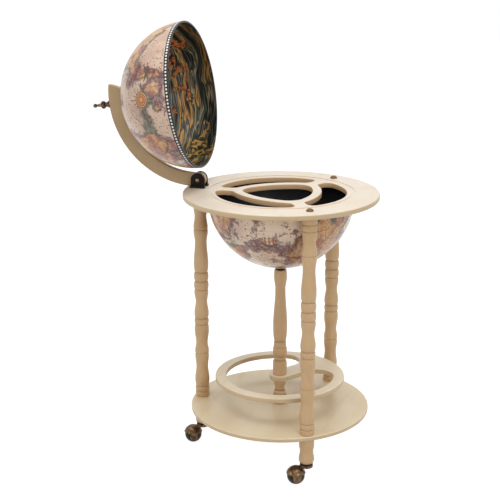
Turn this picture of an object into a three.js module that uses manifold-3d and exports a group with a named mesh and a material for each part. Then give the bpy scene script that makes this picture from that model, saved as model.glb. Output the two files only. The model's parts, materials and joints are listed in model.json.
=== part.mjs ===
// Floor globe bar with its lid open. Three turned legs on hooded ball casters carry a shelf, a
// bottle plate, a pierced top board with a half-globe bowl under it, and a half-globe lid that
// hangs from a curved arm hinged on the board. Millimetres, Z up, floor at zero.
import * as THREE from 'three';
import { mergeVertices } from 'three/addons/utils/BufferGeometryUtils.js';
import Module from 'manifold-3d';

const wasm = await Module();
wasm.setup();

// Clearances between pieces and working allowances
const seatGap = 0.3;
const cutOver = 6;
const weldTolerance = 0.0001;
const chordError = 0.4;

// Top board: its rim past the leg centres, its edge, the lid's seat and the bowl's socket
const boardLip = 33.1;
const boardThickness = 12;
const boardRound = 3.2;
const seatInside = 7.4;
const seatOutside = 2.4;
const seatDepth = 0.9;
const bowlSocketDepth = 4;
const rimGap = 0.4;

// Openings of the top board: a rounded triangle with three kidneys round it
const openingEase = 1.4;
const openingInset = 17.5;
const ribWidth = 29;
const kidneyFillet = 15;
const curveShare = 0.57627;
const kidneyShare = 1.18644;
const triangleShare = 1.05085;
const cornerShare = 0.23729;

// Half globes
const bowlRadius = 165;
const shellThickness = 4;
const lidUnder = 0.8;

// Legs, shelf and feet
const legClear = 5.9;
const legRadius = 17;
const legHeight = 496.5;
const shelfThickness = 9;
const shelfLip = 19.6;
const shelfRound = 2.4;
const footRadius = 17.2;
const footHeight = 59.2;
const legBoltRadius = 3;
const legBoltLength = 45;
const boltHeadRadius = 5.6;
const boltHeadHeight = 4;
const boltPocketDepth = 8;
const legRodRadius = 3;
const rodInLeg = 26;
const footWeb = 7.2;

// Plugs over two of the leg bolts
const plugRadius = 8.4;
const plugHeight = 6.2;
const plugSpigot = 2.6;

// Bottle plate and posts
const plateRise = 70.9;
const plateThickness = 11;
const plateLegGap = 20.3;
const plateRing = 24.6;
const plateRound = 2.4;
const plateBoss = 24;
const plateFilletShare = 0.3016;
const upperPostRadius = 16.5;
const lowerPostRadius = 18.9;
const postRodRadius = 4;
const postRodRise = 48;
const postNutRadius = 7.4;
const postNutHeight = 6;
const postWasherRadius = 11;
const washerThickness = 1.6;
const collarRadius = 10.6;
const collarSpace = 9;
const bowlBoltRadius = 3;
const bowlBoltLength = 38;
const bowlWasherRadius = 13;
const bowlBoltHead = 6.4;
const bowlBoltHeadHeight = 4.4;

// Hinge bracket on the board
const hingeClear = 27.9;
const cheekRadius = 16.3;
const cheekThickness = 6.8;
const cheekGap = 0.5;
const cheekEase = 0.8;
const bracketSink = 3;
const bracketStep = 4.4;
const bracketFlange = 5;
const bracketSide = 0.8;
const pinRadius = 3;
const pinHeadRadius = 4.6;
const pinHeadHeight = 2.8;
const pinHeadFlat = 2.4;
const pinHeadRim = 1;
const pinNutRadius = 5.2;
const pinNutHeight = 4;
const screwSpread = 11;
const screwRadius = 1.7;
const screwHead = 3.4;
const screwHeadHeight = 1.7;
const screwLength = 9;

// Curved arm, spacer and finial
const armEyeRim = 0.77;
const armLift = 0.93;
const armShift = 2.6;
const armDrop = 4.3;
const armThickness = 31.4;
const armWidth = 14;
const armTipRound = 10;
const armEase = 1.6;
const studRadius = 3;
const studTail = 12;
const studInFinial = 16;
const spacerRadius = 6.8;
const finialRadius = 9.2;
const finialLength = 41.94;
const lidWasherRadius = 10;
const lidNutRadius = 6.2;
const lidNutHeight = 6;

// Casters
const wheelRadius = 20;
const wheelWidthShare = 0.81;
const axleRadius = 2.5;
const hoodClear = 1.2;
const hoodWall = 1.6;
const hoodRise = 7;
const earRadius = 9.6;
const trail = 23.4;
const neckHalfWidth = 8;
const neckInset = 7;
const swivelPlateRadius = 14.8;
const swivelPlateRise = 26;
const swivelPlateThickness = 5.6;
const casterRingRadius = 14.4;
const casterRingSpace = 4.8;
const stemRadius = 4;
const stemInFoot = 28;
const rivetRadius = 6;
const rivetHeight = 2.4;

// Angles in radians: lid opening, arm tip past the pole, leg turn, bottle arm, caster trail
const lidOpening = THREE.MathUtils.degToRad(98.35);
const armTipPast = THREE.MathUtils.degToRad(13.35);
const legTurn = THREE.MathUtils.degToRad(2.36);
const plateArmAngle = THREE.MathUtils.degToRad(52.4);
const trailAngle = THREE.MathUtils.degToRad(202);
const thirdTurn = 2 * Math.PI / 3;
const ribAngle = Math.PI / 3;

// Facet counts
const roundFacets = 52;
const shellRows = 10;
const innerShellRows = 8;
const turnedFacets = 12;
const smallFacets = 10;
const hoodFacets = 18;
const nutSides = 6;
const roundSteps = 2;

// Turned outlines from the bottom up: radius share, height share
const legShares = [
  [0.93, 0], [0.953, 0.0215], [0.865, 0.0262], [0.976, 0.0377], [0.865, 0.0534], [0.953, 0.0598],
  [1, 0.089], [0.853, 0.13], [0.824, 0.1523], [0.853, 0.1744], [0.959, 0.2057], [0.894, 0.2188],
  [0.971, 0.2308], [0.894, 0.249], [0.812, 0.2701], [0.871, 0.2912], [0.982, 0.3184],
  [0.988, 0.3516], [0.865, 0.3643], [0.947, 0.3707], [0.988, 0.3798], [0.853, 0.3949],
  [0.994, 0.418], [0.947, 0.4362], [0.841, 0.4563], [0.8, 0.4764], [0.853, 0.4965],
  [0.971, 0.5237], [0.876, 0.5358], [0.959, 0.5448], [1, 0.5579], [0.847, 0.5777],
  [0.924, 0.5851], [0.994, 0.6012], [0.835, 0.6219], [0.924, 0.6314], [0.994, 0.6475],
  [0.988, 0.6817], [0.9, 0.726], [0.812, 0.7662], [0.871, 0.7884], [0.979, 0.8195],
  [0.9, 0.8296], [0.971, 0.8377], [0.894, 0.8608], [0.806, 0.886], [0.859, 0.9091],
  [0.941, 0.9312], [0.871, 0.9373], [0.976, 0.9524], [0.865, 0.9675], [0.971, 0.9855], [0.947, 1],
];
const footShares = [
  [0.78, 0], [0.9, 0.03], [0.977, 0.09], [1, 0.155], [0.971, 0.26], [0.919, 0.36], [0.86, 0.47],
  [0.901, 0.56], [0.953, 0.645], [0.977, 0.715], [0.977, 0.9], [0.953, 1],
];
const upperPostShares = [
  [0.958, 0], [0.982, 0.125], [0.785, 0.139], [0.779, 0.172], [0.915, 0.183], [1, 0.218],
  [0.955, 0.247], [0.867, 0.257], [0.867, 0.305], [0.758, 0.322], [0.903, 0.355], [0.976, 0.388],
  [1, 0.452], [0.982, 0.537], [0.915, 0.629], [0.818, 0.724], [0.715, 0.82], [0.77, 0.848],
  [0.848, 0.866], [0.897, 0.905], [0.915, 0.935], [0.867, 0.975], [0.8, 1],
];
const lowerPostShares = [
  [0.968, 0], [1, 0.08], [0.921, 0.18], [0.751, 0.29], [0.661, 0.37], [0.741, 0.455],
  [0.651, 0.53], [0.566, 0.56], [0.62, 0.65], [0.73, 0.77], [0.804, 0.88], [0.82, 1],
];
const finialShares = [
  [0.8, 0], [0.84, 0.1], [0.46, 0.125], [0.6, 0.17], [0.6, 0.24], [0.48, 0.28], [0.93, 0.345],
  [1, 0.39], [0.93, 0.44], [0.52, 0.5], [0.4, 0.64], [0.26, 0.72], [0.26, 0.77], [0.42, 0.81],
  [0.5, 0.885], [0.38, 0.96], [0, 1],
];
const plugShares = [[1, 0], [1, 0.2], [0.9, 0.55], [0.62, 0.86], [0, 1]];
const wheelShares = [[0.587, 1], [0.78, 0.77], [0.93, 0.45], [1, 0]];

// Heights that follow from the pieces stacked on the casters
const swivelPlateTop = wheelRadius + swivelPlateRise;
const swivelPlateBottom = swivelPlateTop - swivelPlateThickness;
const footBottom = swivelPlateTop + casterRingSpace;
const shelfBottom = footBottom + footHeight + seatGap;
const rodInFoot = footHeight - stemInFoot - footWeb;
const shelfTop = shelfBottom + shelfThickness;
const shelfSeat = shelfTop + seatGap;
const boardBottom = shelfSeat + legHeight + seatGap;
const boardTop = boardBottom + boardThickness;
const plateTop = shelfTop + plateRise;
const plateBottom = plateTop - plateThickness;
const bowlCentre = boardBottom + bowlSocketDepth - rimGap;
const bowlBase = bowlCentre - bowlRadius;
const upperPostTop = bowlBase - collarSpace;
const armEye = armThickness / 2 + armEyeRim;
const hingeRise = armEye + armLift;
const hingeHeight = boardTop + hingeRise;
const lidCentre = boardTop - seatDepth + rimGap;

// Radii that follow from the bowl, outwards from the centre post
const lidRadius = bowlRadius - lidUnder;
const openingOuter = bowlRadius - openingInset;
const curveOffset = openingOuter * curveShare;
const kidneyInner = openingOuter * kidneyShare;
const triangleSide = openingOuter * triangleShare;
const triangleCorner = openingOuter * cornerShare;
const seatInner = bowlRadius - seatInside;
const seatOuter = bowlRadius + seatOutside;
const legCircle = bowlRadius + legClear + legRadius;
const boardRadius = legCircle + boardLip;
const shelfRadius = legCircle + shelfLip;
const plateRadius = legCircle - legRadius - plateLegGap;
const plateInner = plateRadius - plateRing;
const plateFillet = plateInner * plateFilletShare;
const hingeReach = lidRadius + hingeClear;
const armSpan = Math.hypot(hingeReach - armShift, hingeHeight - lidCentre + armDrop);
const armOuter = armSpan + armEye;
const armInner = armOuter - armThickness;
const armFace = armOuter - armDrop;
const wheelHalfWidth = wheelRadius * wheelWidthShare;
const hoodInner = wheelRadius + hoodClear;
const hoodOuter = hoodInner + hoodWall;
const cheekInner = armWidth / 2 + cheekGap;
const cheekOuter = cheekInner + cheekThickness;
const legAngles = [legTurn - ribAngle, legTurn + Math.PI, legTurn + ribAngle];
const legNames = ['front', 'left', 'back'];
const legSpots = legAngles.map((a) => [legCircle * Math.cos(a), legCircle * Math.sin(a)]);

// Solid helpers
function weld(geometry) {
  const plain = new THREE.BufferGeometry();
  plain.setAttribute('position', geometry.getAttribute('position'));
  plain.setIndex(geometry.getIndex());
  return mergeVertices(plain, weldTolerance);
}

function toSolid(geometry) {
  const welded = weld(geometry);
  const points = welded.getAttribute('position').array;
  const index = welded.getIndex().array;
  const faces = [];
  let volume = 0;
  for (let i = 0; i < index.length; i += 3) {
    const [a, b, c] = [index[i], index[i + 1], index[i + 2]];
    if (a === b || b === c || c === a) continue;
    faces.push([a, b, c]);
    const [p, q, r] = [a, b, c].map((n) => new THREE.Vector3().fromArray(points, 3 * n));
    volume += p.dot(q.cross(r));
  }
  const outward = volume < 0 ? faces.map(([a, b, c]) => [a, c, b]) : faces;
  const triVerts = new Uint32Array(outward.flat());
  const vertProperties = new Float32Array(points);
  return new wasm.Manifold(new wasm.Mesh({ numProp: 3, vertProperties, triVerts }));
}

function toGeometry(solid) {
  const mesh = solid.getMesh();
  const geometry = new THREE.BufferGeometry();
  geometry.setAttribute('position', new THREE.BufferAttribute(mesh.vertProperties, 3));
  geometry.setIndex(new THREE.BufferAttribute(mesh.triVerts, 1));
  const flat = geometry.toNonIndexed();
  flat.computeVertexNormals();
  return flat;
}

const upright = new THREE.Matrix4();
const toY = new THREE.Matrix4().makeRotationX(-Math.PI / 2);

function turned(outline, facets, matrix = upright) {
  const points = outline.map(([radius, height]) => new THREE.Vector2(radius, height));
  const geometry = new THREE.LatheGeometry(points, facets);
  geometry.rotateX(Math.PI / 2);
  geometry.applyMatrix4(matrix);
  return toSolid(geometry);
}

function rod(radius, from, to, facets = smallFacets, matrix = upright) {
  return turned([[0, from], [radius, from], [radius, to], [0, to]], facets, matrix);
}

function tube(inner, outer, from, to, facets = smallFacets) {
  return turned([[inner, from], [outer, from], [outer, to], [inner, to], [inner, from]], facets);
}

function nut(hole, radius, from, to, matrix = upright) {
  const bore = rod(hole, from - cutOver, to + cutOver, smallFacets, matrix);
  return rod(radius, from, to, nutSides, matrix).subtract(bore);
}

function block(x0, x1, y0, y1, z0, z1) {
  const geometry = new THREE.BoxGeometry(x1 - x0, y1 - y0, z1 - z0);
  geometry.translate((x0 + x1) / 2, (y0 + y1) / 2, (z0 + z1) / 2);
  return toSolid(geometry);
}

function placed(x, y, z) {
  return new THREE.Matrix4().makeTranslation(x, y, z);
}

function alongY(x, z) {
  return placed(x, 0, z).multiply(toY);
}

function arc(x, y, radius, from, to, steps = roundSteps) {
  return Array.from({ length: steps + 1 }, (_, i) => {
    const angle = from + (to - from) * i / steps;
    return [x + radius * Math.cos(angle), y + radius * Math.sin(angle)];
  });
}

function outlineFrom(shares, radius, from, to) {
  return shares.map(([r, h]) => [r * radius, from + h * (to - from)]);
}

function roundedEdge(radius, bottom, top, round) {
  return [
    ...arc(radius - round, bottom + round, round, -Math.PI / 2, 0),
    ...arc(radius - round, top - round, round, 0, Math.PI / 2),
  ];
}

function union(solids) {
  return solids.reduce((sum, solid) => sum.add(solid));
}

// Straight or eased prism over an outline, with steps by curvature and repeated points dropped
function prism(shape, depth, ease = 0, easeOffset = 0) {
  const steps = (curve) => (curve.isEllipseCurve
    ? Math.max(2, Math.ceil(curve.getLength() / Math.sqrt(8 * chordError * curve.xRadius))) : 1);
  const path = shape.curves.flatMap((curve) => curve.getPoints(steps(curve)));
  const points = path.filter((point, i) => point.distanceTo(path.at(i - 1)) > weldTolerance);
  return new THREE.ExtrudeGeometry(new THREE.Shape(points), {
    depth, bevelEnabled: ease > 0, bevelThickness: ease, bevelSize: ease, bevelOffset: easeOffset,
    bevelSegments: 1,
  });
}

// Outlines of the openings
function kidney() {
  const halfRib = ribWidth / 2 + kidneyFillet;
  const reach = openingOuter - kidneyFillet;
  const outerAngle = ribAngle - Math.asin(halfRib / reach);
  const along = new THREE.Vector2(Math.cos(ribAngle), Math.sin(ribAngle));
  const offset = new THREE.Vector2(along.y * halfRib + curveOffset, -along.x * halfRib);
  const projected = along.dot(offset);
  const far = kidneyInner + kidneyFillet;
  const run = Math.sqrt(projected ** 2 - offset.lengthSq() + far ** 2) - projected;
  const fromCurve = along.clone().multiplyScalar(run).add(offset);
  const innerX = fromCurve.x - curveOffset;
  const turnIn = fromCurve.angle();
  const shape = new THREE.Shape();
  const outerX = reach * Math.cos(outerAngle);
  const outerY = reach * Math.sin(outerAngle);
  shape.absarc(0, 0, openingOuter, -outerAngle, outerAngle, false);
  shape.absarc(outerX, outerY, kidneyFillet, outerAngle, ribAngle + Math.PI / 2, false);
  shape.absarc(innerX, fromCurve.y, kidneyFillet, ribAngle + Math.PI / 2, turnIn + Math.PI, false);
  shape.absarc(-curveOffset, 0, kidneyInner, turnIn, -turnIn, true);
  shape.absarc(innerX, -fromCurve.y, kidneyFillet, Math.PI - turnIn, 3 * Math.PI / 2 - ribAngle, false);
  shape.absarc(outerX, -outerY, kidneyFillet, -ribAngle - Math.PI / 2, -outerAngle, false);
  return shape;
}

function roundTriangle() {
  const span = triangleSide - triangleCorner;
  const corner = (Math.sqrt(4 * span ** 2 - 3 * curveOffset ** 2) - curveOffset) / 2;
  const half = Math.atan2(corner * Math.sin(ribAngle), corner * Math.cos(ribAngle) + curveOffset);
  const shape = new THREE.Shape();
  for (let k = 0; k < 3; k += 1) {
    const side = k * thirdTurn;
    const tip = side + ribAngle;
    const sideX = -curveOffset * Math.cos(side);
    const sideY = -curveOffset * Math.sin(side);
    shape.absarc(sideX, sideY, triangleSide, side - half, side + half, false);
    const [tipX, tipY] = [corner * Math.cos(tip), corner * Math.sin(tip)];
    shape.absarc(tipX, tipY, triangleCorner, side + half, side + thirdTurn - half, false);
  }
  return shape;
}

function plateOpening() {
  const reach = plateInner - plateFillet;
  const rise = plateBoss + plateFillet;
  const run = Math.sqrt(reach ** 2 - rise ** 2);
  const start = Math.asin(rise / reach);
  const shape = new THREE.Shape();
  shape.absarc(0, 0, plateInner, start, 2 * Math.PI - start, false);
  shape.absarc(run, -rise, plateFillet, -start, Math.PI / 2, false);
  shape.absarc(0, 0, plateBoss, 3 * Math.PI / 2, Math.PI / 2, true);
  shape.absarc(run, rise, plateFillet, -Math.PI / 2, start, false);
  return shape;
}

function openingCut(shape, angle, bottom, top) {
  const through = prism(shape, top - bottom + 2 * cutOver);
  through.translate(0, 0, bottom - cutOver);
  const upper = prism(shape, cutOver, openingEase);
  upper.translate(0, 0, top);
  const lower = prism(shape, cutOver, openingEase);
  lower.translate(0, 0, bottom - cutOver);
  const turn = new THREE.Matrix4().makeRotationZ(angle);
  return union([through, upper, lower].map((geometry) => toSolid(geometry.applyMatrix4(turn))));
}

// Top board with its openings, bolt pockets and hinge recess
function board() {
  const socketInner = bowlRadius - shellThickness - 3 * seatGap;
  const socketOuter = bowlRadius + seatGap;
  let solid = turned([
    [0, boardBottom], [socketInner, boardBottom], [socketInner, boardBottom + bowlSocketDepth],
    [socketOuter, boardBottom + bowlSocketDepth], [socketOuter, boardBottom],
    ...roundedEdge(boardRadius, boardBottom, boardTop, boardRound),
    [seatOuter, boardTop], [seatOuter, boardTop - seatDepth], [seatInner, boardTop - seatDepth],
    [seatInner, boardTop], [0, boardTop],
  ], roundFacets);
  const kidneyOutline = kidney();
  for (let k = 0; k < 3; k += 1) {
    solid = solid.subtract(openingCut(kidneyOutline, legTurn + k * thirdTurn, boardBottom, boardTop));
  }
  solid = solid.subtract(openingCut(roundTriangle(), legTurn, boardBottom, boardTop));
  const pocketFloor = boardTop - boltPocketDepth;
  for (const [x, y] of legSpots) {
    const at = placed(x, y, 0);
    const hole = rod(legBoltRadius + seatGap, boardBottom - cutOver, boardTop, smallFacets, at);
    const pocket = rod(boltHeadRadius + seatGap, pocketFloor, boardTop + cutOver, smallFacets, at);
    solid = solid.subtract(hole).subtract(pocket);
  }
  const reach = cheekRadius + bracketSide + seatGap;
  const width = cheekOuter + bracketFlange + seatGap;
  const recess = block(
    -hingeReach - reach, reach - hingeReach, -width, width,
    boardTop - bracketSink - seatGap, boardTop + cutOver,
  );
  for (const side of [-1, 1]) {
    const at = placed(side * screwSpread - hingeReach, 0, 0);
    const pilot = rod(screwRadius + seatGap, boardTop - screwLength - seatGap, boardTop, smallFacets, at);
    solid = solid.subtract(pilot);
  }
  return solid.subtract(recess);
}

// Depth below the centre of a half globe at which its inside is as wide as the flat
function flatDepth(radius, flatRadius) {
  return Math.sqrt((radius - shellThickness) ** 2 - flatRadius ** 2);
}

// Half-globe shell, pole downward, with a bolt hole through the pole and a flat inside it
function halfGlobe(radius, holeRadius, flatRadius) {
  const inner = radius - shellThickness;
  const outerStart = Math.asin(holeRadius / radius);
  const innerStart = Math.asin(flatRadius / inner);
  const outline = [
    ...arc(0, 0, radius, outerStart - Math.PI / 2, 0, shellRows),
    ...arc(0, 0, inner, 0, innerStart - Math.PI / 2, innerShellRows),
    [holeRadius, -flatDepth(radius, flatRadius)],
  ];
  return turned([...outline, outline[0]], roundFacets);
}

// Legs, feet and the hardware that joins them
function leg() {
  const top = boardBottom - seatGap;
  const boltHole = legBoltRadius + seatGap;
  const rodHole = legRodRadius + seatGap;
  const boltEnd = boardTop - boltPocketDepth - legBoltLength - seatGap;
  const rodEnd = shelfSeat + rodInLeg + seatGap;
  return turned([
    [0, rodEnd], [rodHole, rodEnd], [rodHole, shelfSeat],
    ...outlineFrom(legShares, legRadius, shelfSeat, top),
    [boltHole, top], [boltHole, boltEnd], [0, boltEnd],
  ], turnedFacets);
}

function foot() {
  const top = shelfBottom - seatGap;
  const stemHole = stemRadius + seatGap;
  const rodHole = legRodRadius + seatGap;
  const stemEnd = footBottom + stemInFoot + seatGap;
  const rodEnd = top - rodInFoot - seatGap;
  return turned([
    [0, stemEnd], [stemHole, stemEnd], [stemHole, footBottom],
    ...outlineFrom(footShares, footRadius, footBottom, top),
    [rodHole, top], [rodHole, rodEnd], [0, rodEnd],
  ], turnedFacets);
}

function bolt(radius, headRadius, headHeight, length) {
  return turned([
    [0, -length], [radius, -length], [radius, seatGap], [headRadius, seatGap],
    [headRadius, headHeight], [0, headHeight],
  ], smallFacets);
}

function plug() {
  const spigot = boltHeadRadius - seatGap;
  return turned([
    [0, -plugSpigot], [spigot, -plugSpigot], [spigot, seatGap],
    ...outlineFrom(plugShares, plugRadius, seatGap, plugHeight),
  ], turnedFacets);
}

// Shelf and bottle plate
function shelf() {
  let solid = turned([
    [0, shelfBottom], ...roundedEdge(shelfRadius, shelfBottom, shelfTop, shelfRound), [0, shelfTop],
  ], roundFacets);
  const low = shelfBottom - cutOver;
  const high = shelfTop + cutOver;
  solid = solid.subtract(rod(postRodRadius + seatGap, low, high));
  for (const [x, y] of legSpots) {
    solid = solid.subtract(rod(legRodRadius + seatGap, low, high, smallFacets, placed(x, y, 0)));
  }
  return solid;
}

function plate() {
  const disc = turned([
    [0, plateBottom], ...roundedEdge(plateRadius, plateBottom, plateTop, plateRound), [0, plateTop],
  ], roundFacets);
  const hole = rod(postRodRadius + seatGap, plateBottom - cutOver, plateTop + cutOver);
  return disc.subtract(openingCut(plateOpening(), plateArmAngle, plateBottom, plateTop)).subtract(hole);
}

// Posts between shelf, plate and bowl
function lowerPost() {
  const hole = postRodRadius + seatGap;
  const top = plateBottom - seatGap;
  const outline = [
    [hole, shelfSeat], ...outlineFrom(lowerPostShares, lowerPostRadius, shelfSeat, top), [hole, top],
  ];
  return turned([...outline, outline[0]], turnedFacets);
}

function upperPost() {
  const bottom = plateTop + seatGap;
  const rodHole = postRodRadius + seatGap;
  const rodEnd = plateTop + postRodRise + seatGap;
  const boltHole = bowlBoltRadius + seatGap;
  const boltEnd = upperPostTop - bowlBoltLength;
  return turned([
    [0, rodEnd], [rodHole, rodEnd], [rodHole, bottom],
    ...outlineFrom(upperPostShares, upperPostRadius, bottom, upperPostTop),
    [boltHole, upperPostTop], [boltHole, boltEnd], [0, boltEnd],
  ], turnedFacets);
}

// Hinge bracket: sunk base, two round-topped cheeks and a stepped foot
function bracket() {
  const half = cheekRadius + bracketSide;
  const width = cheekOuter + bracketFlange;
  const baseTop = boardTop - seatGap;
  const parts = [block(-half, half, -width, width, boardTop - bracketSink, baseTop)];
  const cheek = new THREE.Shape();
  cheek.moveTo(-cheekRadius, 0);
  cheek.lineTo(cheekRadius, 0);
  cheek.absarc(0, hingeRise + bracketSink, cheekRadius, 0, Math.PI, false);
  for (const side of [-1, 1]) {
    const geometry = prism(cheek, cheekThickness - 2 * cheekEase, cheekEase, -cheekEase);
    geometry.rotateX(Math.PI / 2);
    const middle = side * (cheekInner + cheekThickness / 2);
    geometry.translate(0, middle + cheekThickness / 2 - cheekEase, boardTop - bracketSink);
    parts.push(toSolid(geometry));
    const [inside, outside] = [side * cheekInner, side * width].sort((a, b) => a - b);
    parts.push(block(-half, half, inside, outside, boardTop - bracketSink, boardTop + bracketStep));
  }
  const pinHole = rod(pinRadius + seatGap, -2 * width, 2 * width, smallFacets, alongY(0, hingeHeight));
  let solid = union(parts).subtract(pinHole);
  for (const side of [-1, 1]) {
    const at = placed(side * screwSpread, 0, baseTop);
    const [hole, sink] = [screwRadius + seatGap, screwHead + seatGap];
    solid = solid.subtract(turned([
      [0, -cutOver], [hole, -cutOver], [hole, -screwHeadHeight], [sink, -seatGap], [sink, cutOver],
      [0, cutOver],
    ], smallFacets, at));
  }
  return solid;
}

function bracketScrew() {
  return turned([
    [0, -screwLength], [screwRadius, seatGap - screwLength], [screwRadius, -screwHeadHeight],
    [screwHead, -seatGap], [screwHead, 0], [0, 0],
  ], smallFacets);
}

function hingePin() {
  const face = cheekOuter + seatGap;
  const tail = face + pinNutHeight + seatGap;
  return turned([
    [0, -face - pinHeadHeight], [pinHeadFlat, -face - pinHeadHeight],
    [pinHeadRadius, -face - pinHeadRim], [pinHeadRadius, -face], [pinRadius, -face],
    [pinRadius, tail], [0, tail],
  ], turnedFacets, toY);
}

// Curved arm: an arc a little off the lid's centre, with an eye at the hinge and a rounded free tip
function arm() {
  const pivot = new THREE.Vector2(armShift - hingeReach, hingeHeight - lidCentre + armDrop);
  const hingeAngle = pivot.angle();
  const tipAngle = Math.PI / 2 - armTipPast;
  const chord = armInner ** 2 - armSpan ** 2 - armEye ** 2;
  const end = hingeAngle + Math.acos(chord / (2 * armSpan * armEye));
  const innerAngle = new THREE.Vector2(
    pivot.x + armEye * Math.cos(end), pivot.y + armEye * Math.sin(end),
  ).angle();
  const innerTip = tipAngle + Math.asin(armTipRound / armInner);
  const tipDepth = armOuter - Math.sqrt(armInner ** 2 - armTipRound ** 2);
  const tipX = armOuter * Math.cos(tipAngle) - armTipRound * Math.sin(tipAngle);
  const tipY = armOuter * Math.sin(tipAngle) + armTipRound * Math.cos(tipAngle);
  const shape = new THREE.Shape();
  shape.absarc(0, 0, armOuter, tipAngle, hingeAngle, false);
  shape.absarc(pivot.x, pivot.y, armEye, hingeAngle, end, false);
  shape.absarc(0, 0, armInner, innerAngle, innerTip, true);
  shape.absellipse(tipX, tipY, tipDepth, armTipRound, -Math.PI, -Math.PI / 2, false, tipAngle);
  const geometry = prism(shape, armWidth - 2 * armEase, armEase, -armEase);
  geometry.rotateX(Math.PI / 2);
  geometry.translate(-armShift, armWidth / 2 - armEase, -armDrop);
  const eyeX = pivot.x - armShift;
  const eyeY = pivot.y - armDrop;
  const pinHole = rod(pinRadius + seatGap, -armWidth, armWidth, smallFacets, alongY(eyeX, eyeY));
  const studHole = rod(studRadius + seatGap, armInner / 2, armOuter + cutOver);
  return toSolid(geometry).subtract(pinHole).subtract(studHole);
}

function finial() {
  const bottom = armFace + seatGap;
  const hole = studRadius + seatGap;
  const holeEnd = bottom + studInFinial + seatGap;
  return turned([
    [0, holeEnd], [hole, holeEnd], [hole, bottom],
    ...outlineFrom(finialShares, finialRadius, bottom, armFace + finialLength),
  ], turnedFacets);
}

// Ball about the wheel centre of a caster that trails along +X
function wheelBall(radius) {
  const half = arc(0, 0, radius, -Math.PI / 2, Math.PI / 2, shellRows);
  return turned(half, hoodFacets, placed(trail, 0, wheelRadius));
}

// Caster body: swivel plate, neck and ball hood in one casting
function casterBody() {
  const big = 2 * hoodOuter;
  const above = wheelRadius + hoodRise;
  const cap = block(trail - big, trail + big, -big, big, above, above + big);
  const ears = rod(earRadius, -big, big, turnedFacets, alongY(trail, wheelRadius));
  const strap = block(trail - earRadius, trail + earRadius, -big, big, wheelRadius, above + hoodRise);
  const hood = wheelBall(hoodOuter).intersect(union([cap, ears, strap]));
  const neckBlock = block(neckInset, trail, -neckHalfWidth, neckHalfWidth, above, swivelPlateTop);
  const neck = neckBlock.intersect(rod(swivelPlateRadius, 0, swivelPlateTop, hoodFacets));
  const swivelPlate = rod(swivelPlateRadius, swivelPlateBottom, swivelPlateTop, hoodFacets);
  const stemHole = rod(stemRadius + seatGap, 0, swivelPlateTop + cutOver);
  const axleHole = rod(axleRadius, -big, big, smallFacets, alongY(trail, wheelRadius));
  const cuts = union([wheelBall(hoodInner), stemHole, axleHole]);
  return union([hood, neck, swivelPlate]).subtract(cuts);
}

function casterWheel() {
  const half = wheelShares.map(([radius, width]) => [radius * wheelRadius, width * wheelHalfWidth]);
  const mirrored = half.slice(0, -1).reverse().map(([radius, width]) => [radius, -width]);
  const bore = axleRadius + seatGap;
  const hub = half[0][1];
  const outline = [[bore, hub], ...half, ...mirrored, [bore, -hub]];
  return turned([...outline, outline[0]], hoodFacets, toY);
}

function casterStem() {
  const rivetTop = swivelPlateBottom - seatGap;
  const rivetBottom = rivetTop - rivetHeight;
  const top = footBottom + stemInFoot;
  return turned([
    [0, rivetBottom], [rivetRadius, rivetBottom], [rivetRadius, rivetTop], [stemRadius, rivetTop],
    [stemRadius, top], [0, top],
  ], smallFacets);
}

// Finishes: colour, roughness, metalness
const finishes = {
  cream: [0xece1cf, 0.55, 0],
  beige: [0xc3a583, 0.6, 0],
  pale: [0xcdb999, 0.6, 0],
  globe: [0xc9a463, 0.3, 0],
  plugWood: [0xa6682a, 0.45, 0],
  bracket: [0x2c1b17, 0.4, 0.1],
  brass: [0x9c7440, 0.35, 0.9],
  steel: [0x8d8f92, 0.35, 0.9],
  rubber: [0x17151a, 0.45, 0],
};

function piece(parent, name, solid, finish, spot = [0, 0, 0]) {
  const [color, roughness, metalness] = finishes[finish];
  const material = new THREE.MeshStandardMaterial({ color, roughness, metalness });
  const mesh = new THREE.Mesh(toGeometry(solid), material);
  mesh.name = name;
  mesh.position.set(...spot);
  parent.add(mesh);
}

function group(parent, name, x, y, z) {
  const made = new THREE.Group();
  made.name = name;
  made.position.set(x, y, z);
  parent.add(made);
  return made;
}

// Stand
const stand = new THREE.Group();
stand.name = 'globe_bar';
const bowlFlat = bowlWasherRadius + seatGap;
const bowlBoltHole = bowlBoltRadius + seatGap;
const bowlShell = halfGlobe(bowlRadius, bowlBoltHole, bowlFlat);
piece(stand, 'board', board(), 'cream');
piece(stand, 'bowl', bowlShell, 'globe', [0, 0, bowlCentre]);
piece(stand, 'shelf', shelf(), 'pale');
piece(stand, 'plate', plate(), 'pale');

// Centre post and its hardware
const postRodHole = postRodRadius + seatGap;
const washerTop = shelfBottom - seatGap;
const washerBottom = washerTop - washerThickness;
const nutTop = washerBottom - seatGap;
const nutBottom = nutTop - postNutHeight;
const bowlWasherSpot = bowlCentre - flatDepth(bowlRadius, bowlFlat) + seatGap;
const bowlBoltSeat = bowlWasherSpot + washerThickness;
const bowlBoltRun = bowlBoltSeat - upperPostTop + bowlBoltLength - seatGap;
const bowlWasher = tube(bowlBoltHole, bowlWasherRadius, 0, washerThickness);
const bowlBolt = bolt(bowlBoltRadius, bowlBoltHead, bowlBoltHeadHeight, bowlBoltRun);
const collar = tube(bowlBoltHole, collarRadius, upperPostTop + seatGap, bowlBase - seatGap);
piece(stand, 'post_lower', lowerPost(), 'beige');
piece(stand, 'post_upper', upperPost(), 'beige');
piece(stand, 'post_collar', collar, 'bracket');
piece(stand, 'post_rod', rod(postRodRadius, nutBottom - seatGap, plateTop + postRodRise), 'steel');
piece(stand, 'post_nut', nut(postRodHole, postNutRadius, nutBottom, nutTop), 'steel');
piece(stand, 'post_washer', tube(postRodHole, postWasherRadius, washerBottom, washerTop), 'steel');
piece(stand, 'bowl_washer', bowlWasher, 'steel', [0, 0, bowlWasherSpot]);
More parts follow.
